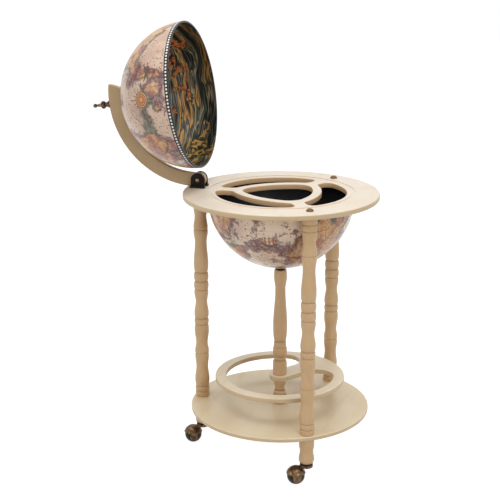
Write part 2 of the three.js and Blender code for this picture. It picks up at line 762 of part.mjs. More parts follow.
piece(stand, 'bowl_bolt', bowlBolt, 'steel', [0, 0, bowlBoltSeat]);

// Legs, feet and casters
const rodBottom = shelfBottom - seatGap - rodInFoot;
const ringBottom = swivelPlateTop + seatGap;
const ringTop = footBottom - seatGap;
legSpots.forEach(([x, y], i) => {
  const name = legNames[i];
  const legBolt = bolt(legBoltRadius, boltHeadRadius, boltHeadHeight, legBoltLength);
  const ring = tube(stemRadius + seatGap, casterRingRadius, ringBottom, ringTop, hoodFacets);
  piece(stand, `leg_${name}`, leg(), 'beige', [x, y, 0]);
  piece(stand, `foot_${name}`, foot(), 'beige', [x, y, 0]);
  piece(stand, `leg_rod_${name}`, rod(legRodRadius, rodBottom, shelfSeat + rodInLeg), 'steel', [x, y, 0]);
  piece(stand, `leg_bolt_${name}`, legBolt, 'steel', [x, y, boardTop - boltPocketDepth]);
  if (name !== 'left') piece(stand, `plug_${name}`, plug(), 'plugWood', [x, y, boardTop]);
  piece(stand, `caster_ring_${name}`, ring, 'bracket', [x, y, 0]);
  piece(stand, `caster_stem_${name}`, casterStem(), 'steel', [x, y, 0]);
  const caster = group(stand, `caster_${name}`, x, y, 0);
  caster.rotation.z = trailAngle;
  piece(caster, `caster_body_${name}`, casterBody(), 'brass');
  piece(caster, `caster_wheel_${name}`, casterWheel(), 'rubber', [trail, 0, wheelRadius]);
  const axle = rod(axleRadius - seatGap / 2, seatGap - hoodOuter, hoodOuter - seatGap, smallFacets, toY);
  piece(caster, `caster_axle_${name}`, axle, 'brass', [trail, 0, wheelRadius]);
});

// Hinge bracket with its pin and screws
const nutFace = cheekOuter + 2 * seatGap;
piece(stand, 'hinge_bracket', bracket(), 'bracket', [-hingeReach, 0, 0]);
for (const [i, side] of [-1, 1].entries()) {
  const screwX = side * screwSpread - hingeReach;
  piece(stand, `bracket_screw_${i}`, bracketScrew(), 'brass', [screwX, 0, boardTop - seatGap]);
}
piece(stand, 'hinge_pin', hingePin(), 'brass', [-hingeReach, 0, hingeHeight]);
const pinNut = nut(pinRadius + seatGap, pinNutRadius, nutFace, nutFace + pinNutHeight - seatGap, toY);
piece(stand, 'hinge_nut', pinNut, 'brass', [-hingeReach, 0, hingeHeight]);

// Lid, built closed round its own centre and swung open about the hinge
const swing = group(stand, 'lid', -hingeReach, 0, hingeHeight);
swing.rotation.y = -lidOpening;
const lid = group(swing, 'lid_closed', hingeReach, 0, lidCentre - hingeHeight);
const studHole = studRadius + seatGap;
const spacerReach = Math.sqrt((armInner - chordError) ** 2 - (spacerRadius + armShift) ** 2);
const spacerTop = spacerReach - armDrop - seatGap;
const lidFlat = lidWasherRadius + seatGap;
const lidWasherTop = flatDepth(lidRadius, lidFlat) - seatGap;
const lidWasherBottom = lidWasherTop - washerThickness;
const lidNutTop = lidWasherBottom - seatGap;
const lidNutBottom = lidNutTop - lidNutHeight;
const studTop = armFace + seatGap + studInFinial;
const upward = halfGlobe(lidRadius, studHole, lidFlat).mirror([0, 0, 1]);
piece(lid, 'arm', arm(), 'cream');
piece(lid, 'dome', upward, 'globe');
piece(lid, 'dome_spacer', tube(studHole, spacerRadius, lidRadius + seatGap, spacerTop), 'brass');
piece(lid, 'dome_washer', tube(studHole, lidWasherRadius, lidWasherBottom, lidWasherTop), 'brass');
piece(lid, 'dome_nut', nut(studHole, lidNutRadius, lidNutBottom, lidNutTop), 'brass');
piece(lid, 'finial_stud', rod(studRadius, lidNutTop - studTail, studTop), 'steel');
piece(lid, 'finial', finial(), 'brass');

// The whole stands over the middle of its own footprint
const bar = new THREE.Group();
bar.name = 'floor_globe_bar';
stand.updateMatrixWorld(true);
const reach = new THREE.Box3().setFromObject(stand, true);
stand.position.set(-(reach.min.x + reach.max.x) / 2, -(reach.min.y + reach.max.y) / 2, 0);
bar.add(stand);

export default bar;
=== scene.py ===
"""Looks of the floor globe bar, in metres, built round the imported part.

Smooth turned, bent and moulded pieces stand for the faceted solids, every piece gets its finish,
and a pale floor, soft lamps and a camera show the bar as it stands open.
"""

import json
import logging
import math
from dataclasses import dataclass
from enum import Enum
from typing import Callable, Optional, Sequence, Union

import bmesh
import bpy
from mathutils import Matrix, Vector


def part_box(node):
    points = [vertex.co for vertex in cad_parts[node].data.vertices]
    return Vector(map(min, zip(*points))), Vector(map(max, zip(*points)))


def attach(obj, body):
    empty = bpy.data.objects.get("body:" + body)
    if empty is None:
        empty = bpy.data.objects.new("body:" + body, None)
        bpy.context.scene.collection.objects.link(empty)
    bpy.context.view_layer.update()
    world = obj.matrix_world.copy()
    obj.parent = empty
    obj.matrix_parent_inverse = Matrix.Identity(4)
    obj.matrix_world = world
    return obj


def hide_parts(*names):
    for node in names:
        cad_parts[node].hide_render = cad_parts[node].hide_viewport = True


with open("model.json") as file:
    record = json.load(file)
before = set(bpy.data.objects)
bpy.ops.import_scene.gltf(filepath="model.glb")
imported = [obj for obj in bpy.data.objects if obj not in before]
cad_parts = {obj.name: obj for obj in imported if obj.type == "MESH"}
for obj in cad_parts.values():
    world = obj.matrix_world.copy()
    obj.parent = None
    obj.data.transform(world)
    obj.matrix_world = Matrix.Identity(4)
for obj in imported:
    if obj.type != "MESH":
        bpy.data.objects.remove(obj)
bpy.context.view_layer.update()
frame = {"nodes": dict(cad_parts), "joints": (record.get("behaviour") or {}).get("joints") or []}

log = logging.getLogger("globe_bar")

Point = tuple[float, float]
Colour = tuple[float, float, float]
Input = Union["Value", float, Colour, Vector]
Stops = Sequence[tuple[float, Colour]]
Choice = Callable[[bmesh.types.BMFace], int]

MM = 0.001
QUARTER, HALF_TURN, FULL_TURN = math.pi / 2, math.pi, 2 * math.pi
SIXTH_TURN, THIRD_TURN = math.pi / 3, FULL_TURN / 3
ROUND_STEPS, BALL_STEPS, SMALL_STEPS = 160, 64, 48
CORNER_STEPS, EASE_STEPS, CUT_STEPS = 5, 4, 9
OPENING_STEP = math.radians(4)
# Angles in degrees above which an edge shows as an edge.
SHARP, TURNED_SHARP = 32.0, 50.0
# Share of a face's normal that points up where the face is a board's top, which gets the lit copy
# of the paint.
UPWARD = 0.6
WELD, LEVEL_SLACK, CUT_SLACK = 0.002 * MM, 0.01 * MM, 1e-7
LEGS = ("front", "left", "back")


def operator(operation: str, swapped: bool = False) -> Callable[..., "Value"]:
    """Makes a method that adds a Math node.

    Args:
        operation: Blender's name of the operation.
        swapped: Whether the other value comes first.

    Returns:
        The method.
    """

    def method(value: "Value", other: Input = 0.0) -> "Value":
        """Adds the node for a value and another."""
        pair = (other, value) if swapped else (value, other)
        return value.graph.math(operation, *pair)

    return method


class Value:
    """A shader output; Python arithmetic on it adds Math nodes."""

    __add__ = __radd__ = operator("ADD")
    __mul__ = __rmul__ = operator("MULTIPLY")
    __sub__, __rsub__ = operator("SUBTRACT"), operator("SUBTRACT", swapped=True)
    __truediv__, __pow__, __abs__ = operator("DIVIDE"), operator("POWER"), operator("ABSOLUTE")
    __lt__, __gt__, __or__ = operator("LESS_THAN"), operator("GREATER_THAN"), operator("MAXIMUM")

    def __init__(self, graph: "Graph", socket: bpy.types.NodeSocket) -> None:
        """Wraps one output socket of a graph."""
        self.graph = graph
        self.socket = socket

    def math(self, operation: str, other: Input = 0.0) -> "Value":
        """Adds a Math node with this value first."""
        return self.graph.math(operation, self, other)

    def step(self, low: float, high: float) -> "Value":
        """Rises smoothly from 0 at a low value to 1 at a high one."""
        inputs = {0: self, 1: low, 2: high}
        return self.graph.node("ShaderNodeMapRange", inputs, interpolation_type="SMOOTHSTEP")

    def line(self, half_width: float) -> "Value":
        """One where this value is near zero, with a soft edge of the same width."""
        return 1 - abs(self).step(half_width, 2 * half_width)

    def repeat(self, pitch: float) -> "Value":
        """Signed distance from the nearest multiple of the pitch."""
        return ((self / pitch + 0.5).math("FRACT") - 0.5) * pitch


class Graph:
    """A node tree, with a call for each kind of node that the finishes use."""

    def __init__(self, tree: bpy.types.NodeTree) -> None:
        """Wraps a tree."""
        self.tree = tree

    def node(self, kind: str, inputs: dict, output: Union[int, str] = 0, **settings: str) -> Value:
        """Adds any node.

        Args:
            kind: Blender's type name of the node.
            inputs: Values or links by socket number or name.
            output: The output that is wrapped.
            settings: The node's own properties.

        Returns:
            The wrapped output.
        """
        made = self.tree.nodes.new(kind)
        for name, value in settings.items():
            setattr(made, name, value)
        self.feed(made, inputs)
        return Value(self, made.outputs[output])

    def feed(self, node: bpy.types.Node, inputs: dict) -> None:
        """Links wrapped outputs to a node's sockets, or sets the sockets' own values."""
        for key, value in inputs.items():
            socket = node.inputs[key]
            if isinstance(value, Value):
                self.tree.links.new(value.socket, socket)
            else:
                socket.default_value = (*value, 1.0) if socket.type == "RGBA" else value

    def surface(self, inputs: dict) -> None:
        """Feeds the Principled shader's sockets by name."""
        self.feed(self.tree.nodes["Principled BSDF"], inputs)

    def math(self, operation: str, first: Input, second: Input = 0.0) -> Value:
        """Adds a Math node."""
        return self.node("ShaderNodeMath", {0: first, 1: second}, operation=operation)

    def vector(self, operation: str, inputs: dict, output: int = 0) -> Value:
        """Adds a Vector Math node."""
        return self.node("ShaderNodeVectorMath", inputs, output, operation=operation)

    def total(self, first: Input, second: Input) -> Value:
        """Sum of two vectors."""
        return self.vector("ADD", {0: first, 1: second})

    def along(self, ray: Value, axis: Vector) -> Value:
        """How far a ray goes along an axis."""
        return self.vector("DOT_PRODUCT", {0: ray, 1: axis}, 1)

    def scaled(self, vector: Input, factor: Input) -> Value:
        """A vector times a number."""
        return self.vector("SCALE", {0: vector, "Scale": factor})

    def ray(self, centre: Vector) -> Value:
        """Unit vector from a centre to the place."""
        out = self.vector("SUBTRACT", {0: self.place(), 1: centre})
        return self.vector("NORMALIZE", {0: out})

    def place(self) -> Value:
        """Object coordinates, which are metres in the bar's own frame."""
        return self.node("ShaderNodeTexCoord", {}, "Object")

    def attribute(self, name: str) -> Value:
        """A number stored on the mesh."""
        return self.node("ShaderNodeAttribute", {}, "Fac", attribute_name=name)

    def mapped(self, place: Value, scale: Colour) -> Value:
        """A place stretched along its axes."""
        return self.node("ShaderNodeMapping", {"Vector": place, "Scale": scale})

    def noise(self, place: Value, scale: float, detail: float = 2.0, rough: float = 0.5) -> Value:
        """Soft noise about one half."""
        inputs = {"Vector": place, "Scale": scale, "Detail": detail, "Roughness": rough}
        return self.node("ShaderNodeTexNoise", inputs)

    def cell_edges(self, place: Value, scale: float) -> Value:
        """Distance to the nearest edge between random cells."""
        inputs = {"Vector": place, "Scale": scale}
        return self.node("ShaderNodeTexVoronoi", inputs, feature="DISTANCE_TO_EDGE")

    def ramp(self, value: Value, stops: Stops) -> Value:
        """A colour that follows a value through stops of position and colour."""
        made = self.node("ShaderNodeValToRGB", {0: value})
        elements = made.socket.node.color_ramp.elements
        while len(elements) < len(stops):
            elements.new(1.0)
        for element, (position, colour) in zip(elements, stops):
            element.position = position
            element.color = (*colour, 1.0)
        return made

    def blend(self, factor: Input, first: Input, second: Input) -> Value:
        """The first colour where the factor is 0 and the second where it is 1."""
        return self.node("ShaderNodeMix", {0: factor, 6: first, 7: second}, 2, data_type="RGBA")

    def over(self, tint: Value, *layers: tuple[Value, Input]) -> Value:
        """Lays colours over a tint, each as far as its mask says."""
        for mask, colour in layers:
            tint = self.blend(mask, tint, colour)
        return tint

    def bump(self, height: Value, depth: float, strength: float) -> Value:
        """A normal that rises and falls with a height of 0 to 1 over a depth in metres."""
        inputs = {"Height": height, "Distance": depth, "Strength": strength}
        return self.node("ShaderNodeBump", inputs)

    def seen(self, below: Value, above: Value) -> Value:
        """One shader, and another for camera, glossy and transmission rays."""
        rays = (f"Is {kind} Ray" for kind in ("Camera", "Glossy", "Transmission"))
        camera, glossy, through = (self.node("ShaderNodeLightPath", {}, name) for name in rays)
        inputs = {0: camera | glossy | through, 1: below, 2: above}
        return self.node("ShaderNodeMixShader", inputs)


@dataclass(frozen=True)
class Finish:
    """A named surface finish, which makes its material once."""

    name: str

    def material(self) -> bpy.types.Material:
        """The material of this finish."""
        found = bpy.data.materials.get(self.name)
        if not found:
            found = bpy.data.materials.new(self.name)
            found.use_nodes = True
            self.paint(Graph(found.node_tree))
        return found

    def paint(self, graph: Graph) -> None:
        """Adds the nodes of the finish."""
        raise NotImplementedError


# Grain tints; the tan one also colours the painted shade in turned grooves.
GLAZE, TAN_GRAIN_AND_GROOVE_SHADE = (0.47, 0.30, 0.16), (0.40, 0.23, 0.11)
LEVEL_GRAIN, UPRIGHT_GRAIN = (34.0, 8.0, 34.0), (420.0, 420.0, 22.0)


@dataclass(frozen=True)
class PaintedWood(Finish):
    """Satin paint over wood, with a faint grain and painted shade darkening its turned grooves."""

    colour: Colour
    warm: Colour
    grain_and_groove_shade: Colour = GLAZE
    grain: Colour = LEVEL_GRAIN
    groove_shade_share: float = 0.0

    def paint(self, graph: Graph) -> None:
        """Adds the nodes of the finish."""
        place = graph.place()
        cloud = graph.noise(place, 11.0, 3.0)
        fibres = graph.noise(graph.mapped(place, self.grain), 1.0, 5.0, 0.62)
        speckle = graph.noise(place, 1400.0, 1.0)
        marks = [fibres.step(0.52, 0.74) * 0.22, speckle.step(0.6, 0.75) * 0.1]
        # Painted shade: darker where a point lies deeper in a turned groove.
        if self.groove_shade_share:
            marks.append(graph.attribute("groove") * self.groove_shade_share)
        tint = graph.blend(cloud.step(0.35, 0.68), self.colour, self.warm)
        tint = graph.over(tint, *((mark, self.grain_and_groove_shade) for mark in marks))
        graph.surface({
            "Base Color": tint,
            "Roughness": 0.46 + (cloud - 0.5) * 0.2 + (speckle - 0.5) * 0.08,
            "Normal": graph.bump(fibres * 0.6 + speckle * 0.4, 0.00012, 0.5),
            "Coat Weight": 0.25,
            "Coat Roughness": 0.35,
        })


@dataclass(frozen=True)
class AmberWood(Finish):
    """Oiled amber wood with rings and open pores."""

    light: Colour = (0.25, 0.12, 0.04)
    dark: Colour = (0.08, 0.032, 0.010)

    def paint(self, graph: Graph) -> None:
        """Adds the nodes of the finish."""
        place = graph.place()
        rings = graph.noise(graph.mapped(place, (260.0, 1300.0, 260.0)), 1.0, 4.0, 0.6)
        pores = graph.noise(graph.mapped(place, (700.0, 5200.0, 700.0)), 1.0)
        tint = graph.blend(rings.step(0.36, 0.66), self.light, self.dark)
        graph.surface({
            "Base Color": graph.blend(pores.step(0.58, 0.7) * 0.5, tint, self.dark),
            "Roughness": 0.4 + pores * 0.25,
            "Specular IOR Level": 0.25,
            "Normal": graph.bump(pores, 0.00008, 0.6),
            "Coat Weight": 0.15,
            "Coat Roughness": 0.15,
        })


@dataclass(frozen=True)
class Metal(Finish):
    """Metal with patches of patina and fine scratches."""

    bright: Colour
    patina: Colour
    patina_share: float
    roughness: float

    def paint(self, graph: Graph) -> None:
        """Adds the nodes of the finish."""
        place = graph.place()
        scratches = graph.noise(graph.mapped(place, (900.0, 900.0, 6000.0)), 1.0)
        level = 1 - self.patina_share
        stain = graph.noise(place, 120.0, 4.0, 0.6).step(level - 0.2, level + 0.12)
        graph.surface({
            "Base Color": graph.blend(stain, self.bright, self.patina),
            "Metallic": 1 - stain * 0.35,
            "Roughness": self.roughness + stain * 0.22 + (scratches - 0.5) * 0.16,
            "Normal": graph.bump(scratches, 0.00003, 0.5),
        })


@dataclass(frozen=True)
class Moulded(Finish):
    """Moulded or sprayed dark coat with a fine orange peel and rubbed spots."""

    colour: Colour
    rubbed: Colour
    roughness: float
    gloss: float

    def paint(self, graph: Graph) -> None:
        """Adds the nodes of the finish."""
        place = graph.place()
        cloud = graph.noise(place, 60.0, 3.0)
        graph.surface({
            "Base Color": graph.blend(cloud.step(0.55, 0.75) * 0.6, self.colour, self.rubbed),
            "Roughness": self.roughness + (cloud - 0.5) * 0.25,
            "Specular IOR Level": self.gloss,
            "Normal": graph.bump(graph.noise(place, 900.0), 0.00008, 0.4),
        })


@dataclass(frozen=True)
class Globe:
    """Where a half globe lies, which its prints are drawn on."""

    centre: Vector
    pole: Vector
    east: Vector
    radius: float

    @property
    def north(self) -> Vector:
        """Third axis of the globe's own frame."""
        return self.pole.cross(self.east)

    def matrix(self) -> Matrix:
        """From a frame with the pole along Z to the bar's frame."""
        turn = Matrix((self.east, self.north, self.pole)).transposed().to_4x4()
        return Matrix.Translation(self.centre) @ turn

    def direction(self, longitude: float, latitude: float) -> Vector:
        """Unit vector to a place given in degrees."""
        lon, lat = math.radians(longitude), math.radians(latitude)
        flat = self.east * math.cos(lon) + self.north * math.sin(lon)
        return flat * math.cos(lat) + self.pole * math.sin(lat)


class Chart:
    """Places on a globe as shader values."""

    def __init__(self, graph: Graph, globe: Globe) -> None:
        """Works out the ray, the latitude, the longitude and the latitude's cosine."""
        self.graph = graph
        self.ray = graph.ray(globe.centre)
        axes = (globe.east, globe.north, globe.pole)
        x, y, z = (graph.along(self.ray, axis) for axis in axes)
        self.latitude = z.math("ARCSINE")
        self.longitude = y.math("ARCTAN2", x)
        self.parallel = (1 - z * z).math("SQRT")


@dataclass(frozen=True)
class MapPrint(Finish):
    """Lacquered map in an antique manner: made-up lands, grid lines, a compass rose and ships."""

    globe: Globe
    seed: Colour
    continents: tuple[tuple[float, float, float, float], ...]
    rose: Point
    ship_rows: tuple[tuple[float, float, float], ...]
    upward: float
    banded: bool

    land_level: float = 0.5
    rose_scale: float = 1.3
    sea: Colour = (0.65, 0.485, 0.37)
    aged_sea: Colour = (0.52, 0.355, 0.265)
    ink: Colour = (0.07, 0.035, 0.035)
    line_ink: Colour = (0.26, 0.15, 0.11)
    lands: Stops = (
        (0.34, (0.30, 0.12, 0.13)), (0.42, (0.46, 0.24, 0.17)), (0.48, (0.62, 0.39, 0.15)),
        (0.53, (0.52, 0.25, 0.11)), (0.58, (0.36, 0.11, 0.08)), (0.66, (0.40, 0.24, 0.15)),
    )
    green_shore: Colour = (0.062, 0.10, 0.075)
    plum_shore: Colour = (0.12, 0.04, 0.065)
    pen: Colour = (0.17, 0.06, 0.045)
    sails: Colour = (0.46, 0.20, 0.09)
    timber: Colour = (0.15, 0.065, 0.035)
    rose_disc: Colour = (0.63, 0.33, 0.13)
    rose_petals: Colour = (0.36, 0.10, 0.055)
    rose_boss: Colour = (0.66, 0.36, 0.12)
    band_black: Colour = (0.012, 0.011, 0.013)
    band_white: Colour = (0.80, 0.78, 0.74)
    dash_count: int = 138

    def paint(self, graph: Graph) -> None:
        """Adds the nodes of the finish."""
        chart = Chart(graph, self.globe)
        field = self._field(graph, chart.ray)
        land = field.step(self.land_level - 0.003, self.land_level + 0.003)
        tint = self._shore(chart, self._sea(chart), field, land)
        tint = graph.blend(land, tint, self._land(graph, field, chart.ray))
        for row in self.ship_rows:
            tint = self._ships(chart, tint, row)
        tint = self._rose(graph, tint, chart.ray)
        if self.banded:
            tint = self._band(chart, tint)
        graph.surface({
            "Base Color": tint,
            "Roughness": 0.3 + (graph.noise(chart.ray, 3.0) - 0.5) * 0.15,
            "Specular IOR Level": 0.2,
            "Coat Weight": 0.28,
            "Coat Roughness": 0.07,
        })

    def _field(self, graph: Graph, ray: Value) -> Value:
        """Rough ground that is raised round the middle of each continent."""
        field = graph.noise(graph.total(ray, self.seed), 2.3, 7.0, 0.58) * 0.8 + 0.035
        for longitude, latitude, reach, rise in self.continents:
            inside = graph.along(ray, self.globe.direction(longitude, latitude))
            field = field + inside.step(math.cos(math.radians(reach)), 1.0) * rise
        return field

    def _sea(self, chart: Chart) -> Value:
        """Aged sea paper with a faint grid and scattered pen marks."""
        graph, ray = chart.graph, chart.ray
        stain = graph.noise(ray, 2.4, 4.0, 0.6)
        paper = graph.blend(stain.step(0.38, 0.66), self.sea, self.aged_sea)
        pitch, width = math.radians(15), 0.3 * MM / self.globe.radius
        meridians = (chart.longitude.repeat(pitch) * chart.parallel).line(width)
        grid = chart.latitude.repeat(pitch).line(width) | meridians
        marks = graph.noise(graph.mapped(ray, (36.0, 52.0, 30.0)), 1.0, 3.0, 0.6)
        written = marks.step(0.575, 0.605) * graph.noise(ray, 5.6).step(0.45, 0.53)
        return graph.over(paper, (grid * 0.35, self.line_ink), (written * 0.9, self.pen))

    def _shore(self, chart: Chart, tint: Value, field: Value, land: Value) -> Value:
        """Hatched fringe in the sea along the coasts, and their inked line."""
        graph, ray, level = chart.graph, chart.ray, self.land_level
        strokes = (chart.latitude * (FULL_TURN * self.globe.radius / (3.2 * MM))).math("SINE")
        ragged = (graph.noise(ray, 40.0) - 0.5) * 0.05
        near = (field + ragged).step(level - 0.05, level - 0.024)
        fringe = near * (1 - land) * (0.55 + 0.45 * strokes.step(-0.3, 0.4))
        coast = (field - level).line(0.003) * 0.9
        colour = self._shore_colour(graph, ray)
        return graph.over(tint, (fringe * 0.92, colour), (coast, self.ink))

    def _shore_colour(self, graph: Graph, ray: Value) -> Value:
        """Green in some parts of the globe and plum in the others."""
        part = graph.noise(graph.total(ray, self.seed), 1.1, 1.0)
        plum = (part - graph.along(ray, self.globe.east) * 0.16).step(0.45, 0.52)
        return graph.blend(plum, self.green_shore, self.plum_shore)

    def _land(self, graph: Graph, field: Value, ray: Value) -> Value:
        """Tinted countries with a deep shore tint, ranges, rivers and borders."""
        tone = graph.noise(graph.total(ray, (7.0, 2.0, 1.0)), 3.4, 4.0, 0.6)
        coast = field + graph.noise(ray, 30.0) * 0.02
        inner = 1 - coast.step(self.land_level + 0.012, self.land_level + 0.06)
        ranges = graph.noise(graph.mapped(ray, (38.0, 38.0, 62.0)), 1.0, 3.0).step(0.56, 0.63)
        wash = graph.noise(ray, 17.0, 3.0).step(0.55, 0.7)
        rivers = (graph.noise(ray, 5.5, 4.0) - 0.5).line(0.004)
        borders = graph.cell_edges(ray, 4.2).line(0.012)
        return graph.over(
            graph.ramp(tone, self.lands), (inner * 0.86, self._shore_colour(graph, ray)),
            (ranges * 0.6, self.line_ink), (wash * 0.42, self.sea),
            ((rivers | borders) * 0.55, self.ink),
        )

    def _ships(self, chart: Chart, tint: Value, row: tuple[float, float, float]) -> Value:
        """A row of three-masted ships round one parallel, left out where there is land.

        Args:
            chart: Places on the globe.
            tint: The colour below.
            row: Latitude, pitch and shift in longitude, in degrees.

        Returns:
            The colour with the ships on it; their sizes are in millimetres on the globe.
        """
        graph, globe = chart.graph, self.globe
        at, pitch, shift = (math.radians(angle) for angle in row)
        off = (chart.longitude - shift).repeat(pitch)
        spot = chart.longitude - off
        scale = globe.radius / MM
        u = abs(off * chart.parallel * scale)
        v = (chart.latitude - at) * (scale * self.upward)
        flat = graph.total(
            graph.scaled(globe.east, spot.math("COSINE") * math.cos(at)),
            graph.scaled(globe.north, spot.math("SINE") * math.cos(at)),
        )
        harbour = graph.total(flat, globe.pole * math.sin(at))
        afloat = self._field(graph, harbour) < self.land_level - 0.012
        hull = (u * u + (v - 18) ** 2 < 24**2) * (u * u + (v - 34) ** 2 > 34**2) * (v < 4)
        mast = u.math("MINIMUM", abs(u - 9))
        masts = mast.line(0.5) * (v > -4) * (v < 21)
        lower = (mast / 4.1) ** 2 + ((v - 7.5) / 5.2) ** 2 < 1
        upper = (mast / 2.9) ** 2 + ((v - 16.5) / 3.2) ** 2 < 1
        water = (v + 6.5).line(0.8) * (u < 24)
        return graph.over(
            tint, ((lower | upper) * afloat * 0.9, self.sails),
            ((hull | masts) * afloat * 0.95, self.timber), (water * afloat * 0.8, self.green_shore),
        )

    def _rose(self, graph: Graph, tint: Value, ray: Value) -> Value:
        """A compass rose with sixteen points and long rhumb lines."""
        towards = self.globe.direction(*self.rose)
        side = towards.cross(self.globe.pole).normalized()
        u, v = graph.along(ray, side), graph.along(ray, side.cross(towards))
        facing = graph.along(ray, towards) > 0
        reach = (u * u + v * v).math("SQRT") * (self.globe.radius / MM / self.rose_scale)
        angle = v.math("ARCTAN2", u)
        points = abs((angle * 8).math("COSINE"))
        cross = abs((angle * 2).math("COSINE"))
        rhumbs = (reach < 60) * (reach > 15) * (abs((angle * 8).math("SINE")) * reach).line(2.2)
        needles = (reach < 18 + cross**4 * 9) * (points**14 > 0.45)
        petals = reach < 5 + points**2 * 7
        rings = (reach - 13).line(0.5) | (reach - 9.6).line(0.35)
        return graph.over(
            tint, (rhumbs * facing * 0.35, self.line_ink), (needles * facing * 0.8, self.ink),
            ((reach < 13.5) * facing, self.rose_disc), (petals * facing * 0.85, self.rose_petals),
            (rings * facing * 0.8, self.ink), ((reach < 3.4) * facing, self.rose_boss),
        )

    def _band(self, chart: Chart, tint: Value) -> Value:
        """Black edge with a dashed white scale round the rim."""
        height = chart.latitude * (self.globe.radius / MM)
        dashes = (chart.longitude * (self.dash_count / FULL_TURN)).math("FRACT") < 0.56
        white = dashes * (height > 3.0) * (height < 6.8)
        return chart.graph.over(tint, (height < 9.4, self.band_black), (white, self.band_white))


@dataclass(frozen=True)
class StreakedLining(Finish):
    """Glossy lining with long streaks and leafy flecks over deep green, and painted shade towards
    its rim.
    """

    globe: Globe

    rim_shade: Colour = (0.006, 0.007, 0.007)
    streaks: Stops = (
        (0.34, (0.005, 0.006, 0.006)), (0.39, (0.10, 0.112, 0.08)), (0.43, (0.006, 0.009, 0.007)),
        (0.47, (0.014, 0.021, 0.016)), (0.50, (0.50, 0.38, 0.22)), (0.525, (0.012, 0.017, 0.012)),
        (0.56, (0.11, 0.125, 0.085)), (0.585, (0.006, 0.009, 0.007)), (0.61, (0.66, 0.36, 0.10)),
        (0.65, (0.26, 0.12, 0.035)), (0.69, (0.012, 0.014, 0.012)),
    )
    red_leaves: Stops = (
        (0.40, (0.014, 0.02, 0.014)), (0.46, (0.12, 0.05, 0.025)), (0.51, (0.50, 0.13, 0.035)),
        (0.57, (0.56, 0.22, 0.07)), (0.62, (0.10, 0.03, 0.012)),
    )
    gold_leaves: Stops = (
        (0.40, (0.016, 0.02, 0.012)), (0.47, (0.09, 0.08, 0.03)), (0.53, (0.60, 0.31, 0.08)),
        (0.59, (0.46, 0.26, 0.06)), (0.64, (0.03, 0.03, 0.016)),
    )

    def paint(self, graph: Graph) -> None:
        """Adds the nodes of the finish."""
        ray = graph.ray(self.globe.centre)
        along, deep = graph.along(ray, self.globe.east), graph.along(ray, self.globe.pole)
        warp = graph.noise(ray, 2.1, 1.0) - 0.5
        across = graph.scaled((9.5, 6.5, 4.0), deep.math("ARCSINE") + warp * 0.16)
        bent = graph.total(graph.scaled(ray, 1.1), across)
        streaks = graph.noise(bent, 1.0, 2.0, 0.55)
        leaves = graph.noise(graph.mapped(ray, (13.0, 13.0, 8.0)), 1.0, 4.0, 0.62)
        groves = graph.noise(graph.total(ray, (0.4, 0.1, 0.7)), 4.4, 3.0)
        high = (groves + along * 0.1 + deep * 0.42).step(0.80, 0.83)
        low = (groves - along * 0.3 + deep * 0.1).step(0.78, 0.81)
        # Painted shade: the lining darkens towards the dome's rim.
        shade = 1 - deep.step(0.03, 0.36)
        tint = graph.over(
            graph.ramp(streaks, self.streaks), (high, graph.ramp(leaves, self.red_leaves)),
            (low, graph.ramp(leaves, self.gold_leaves)), (shade * 0.5, self.rim_shade),
        )
        graph.surface({
            "Base Color": tint,
            "Roughness": 0.36 + warp * 0.12,
            "Specular IOR Level": 0.1,
            "Coat Weight": 0.16,
            "Coat Roughness": 0.05,
        })


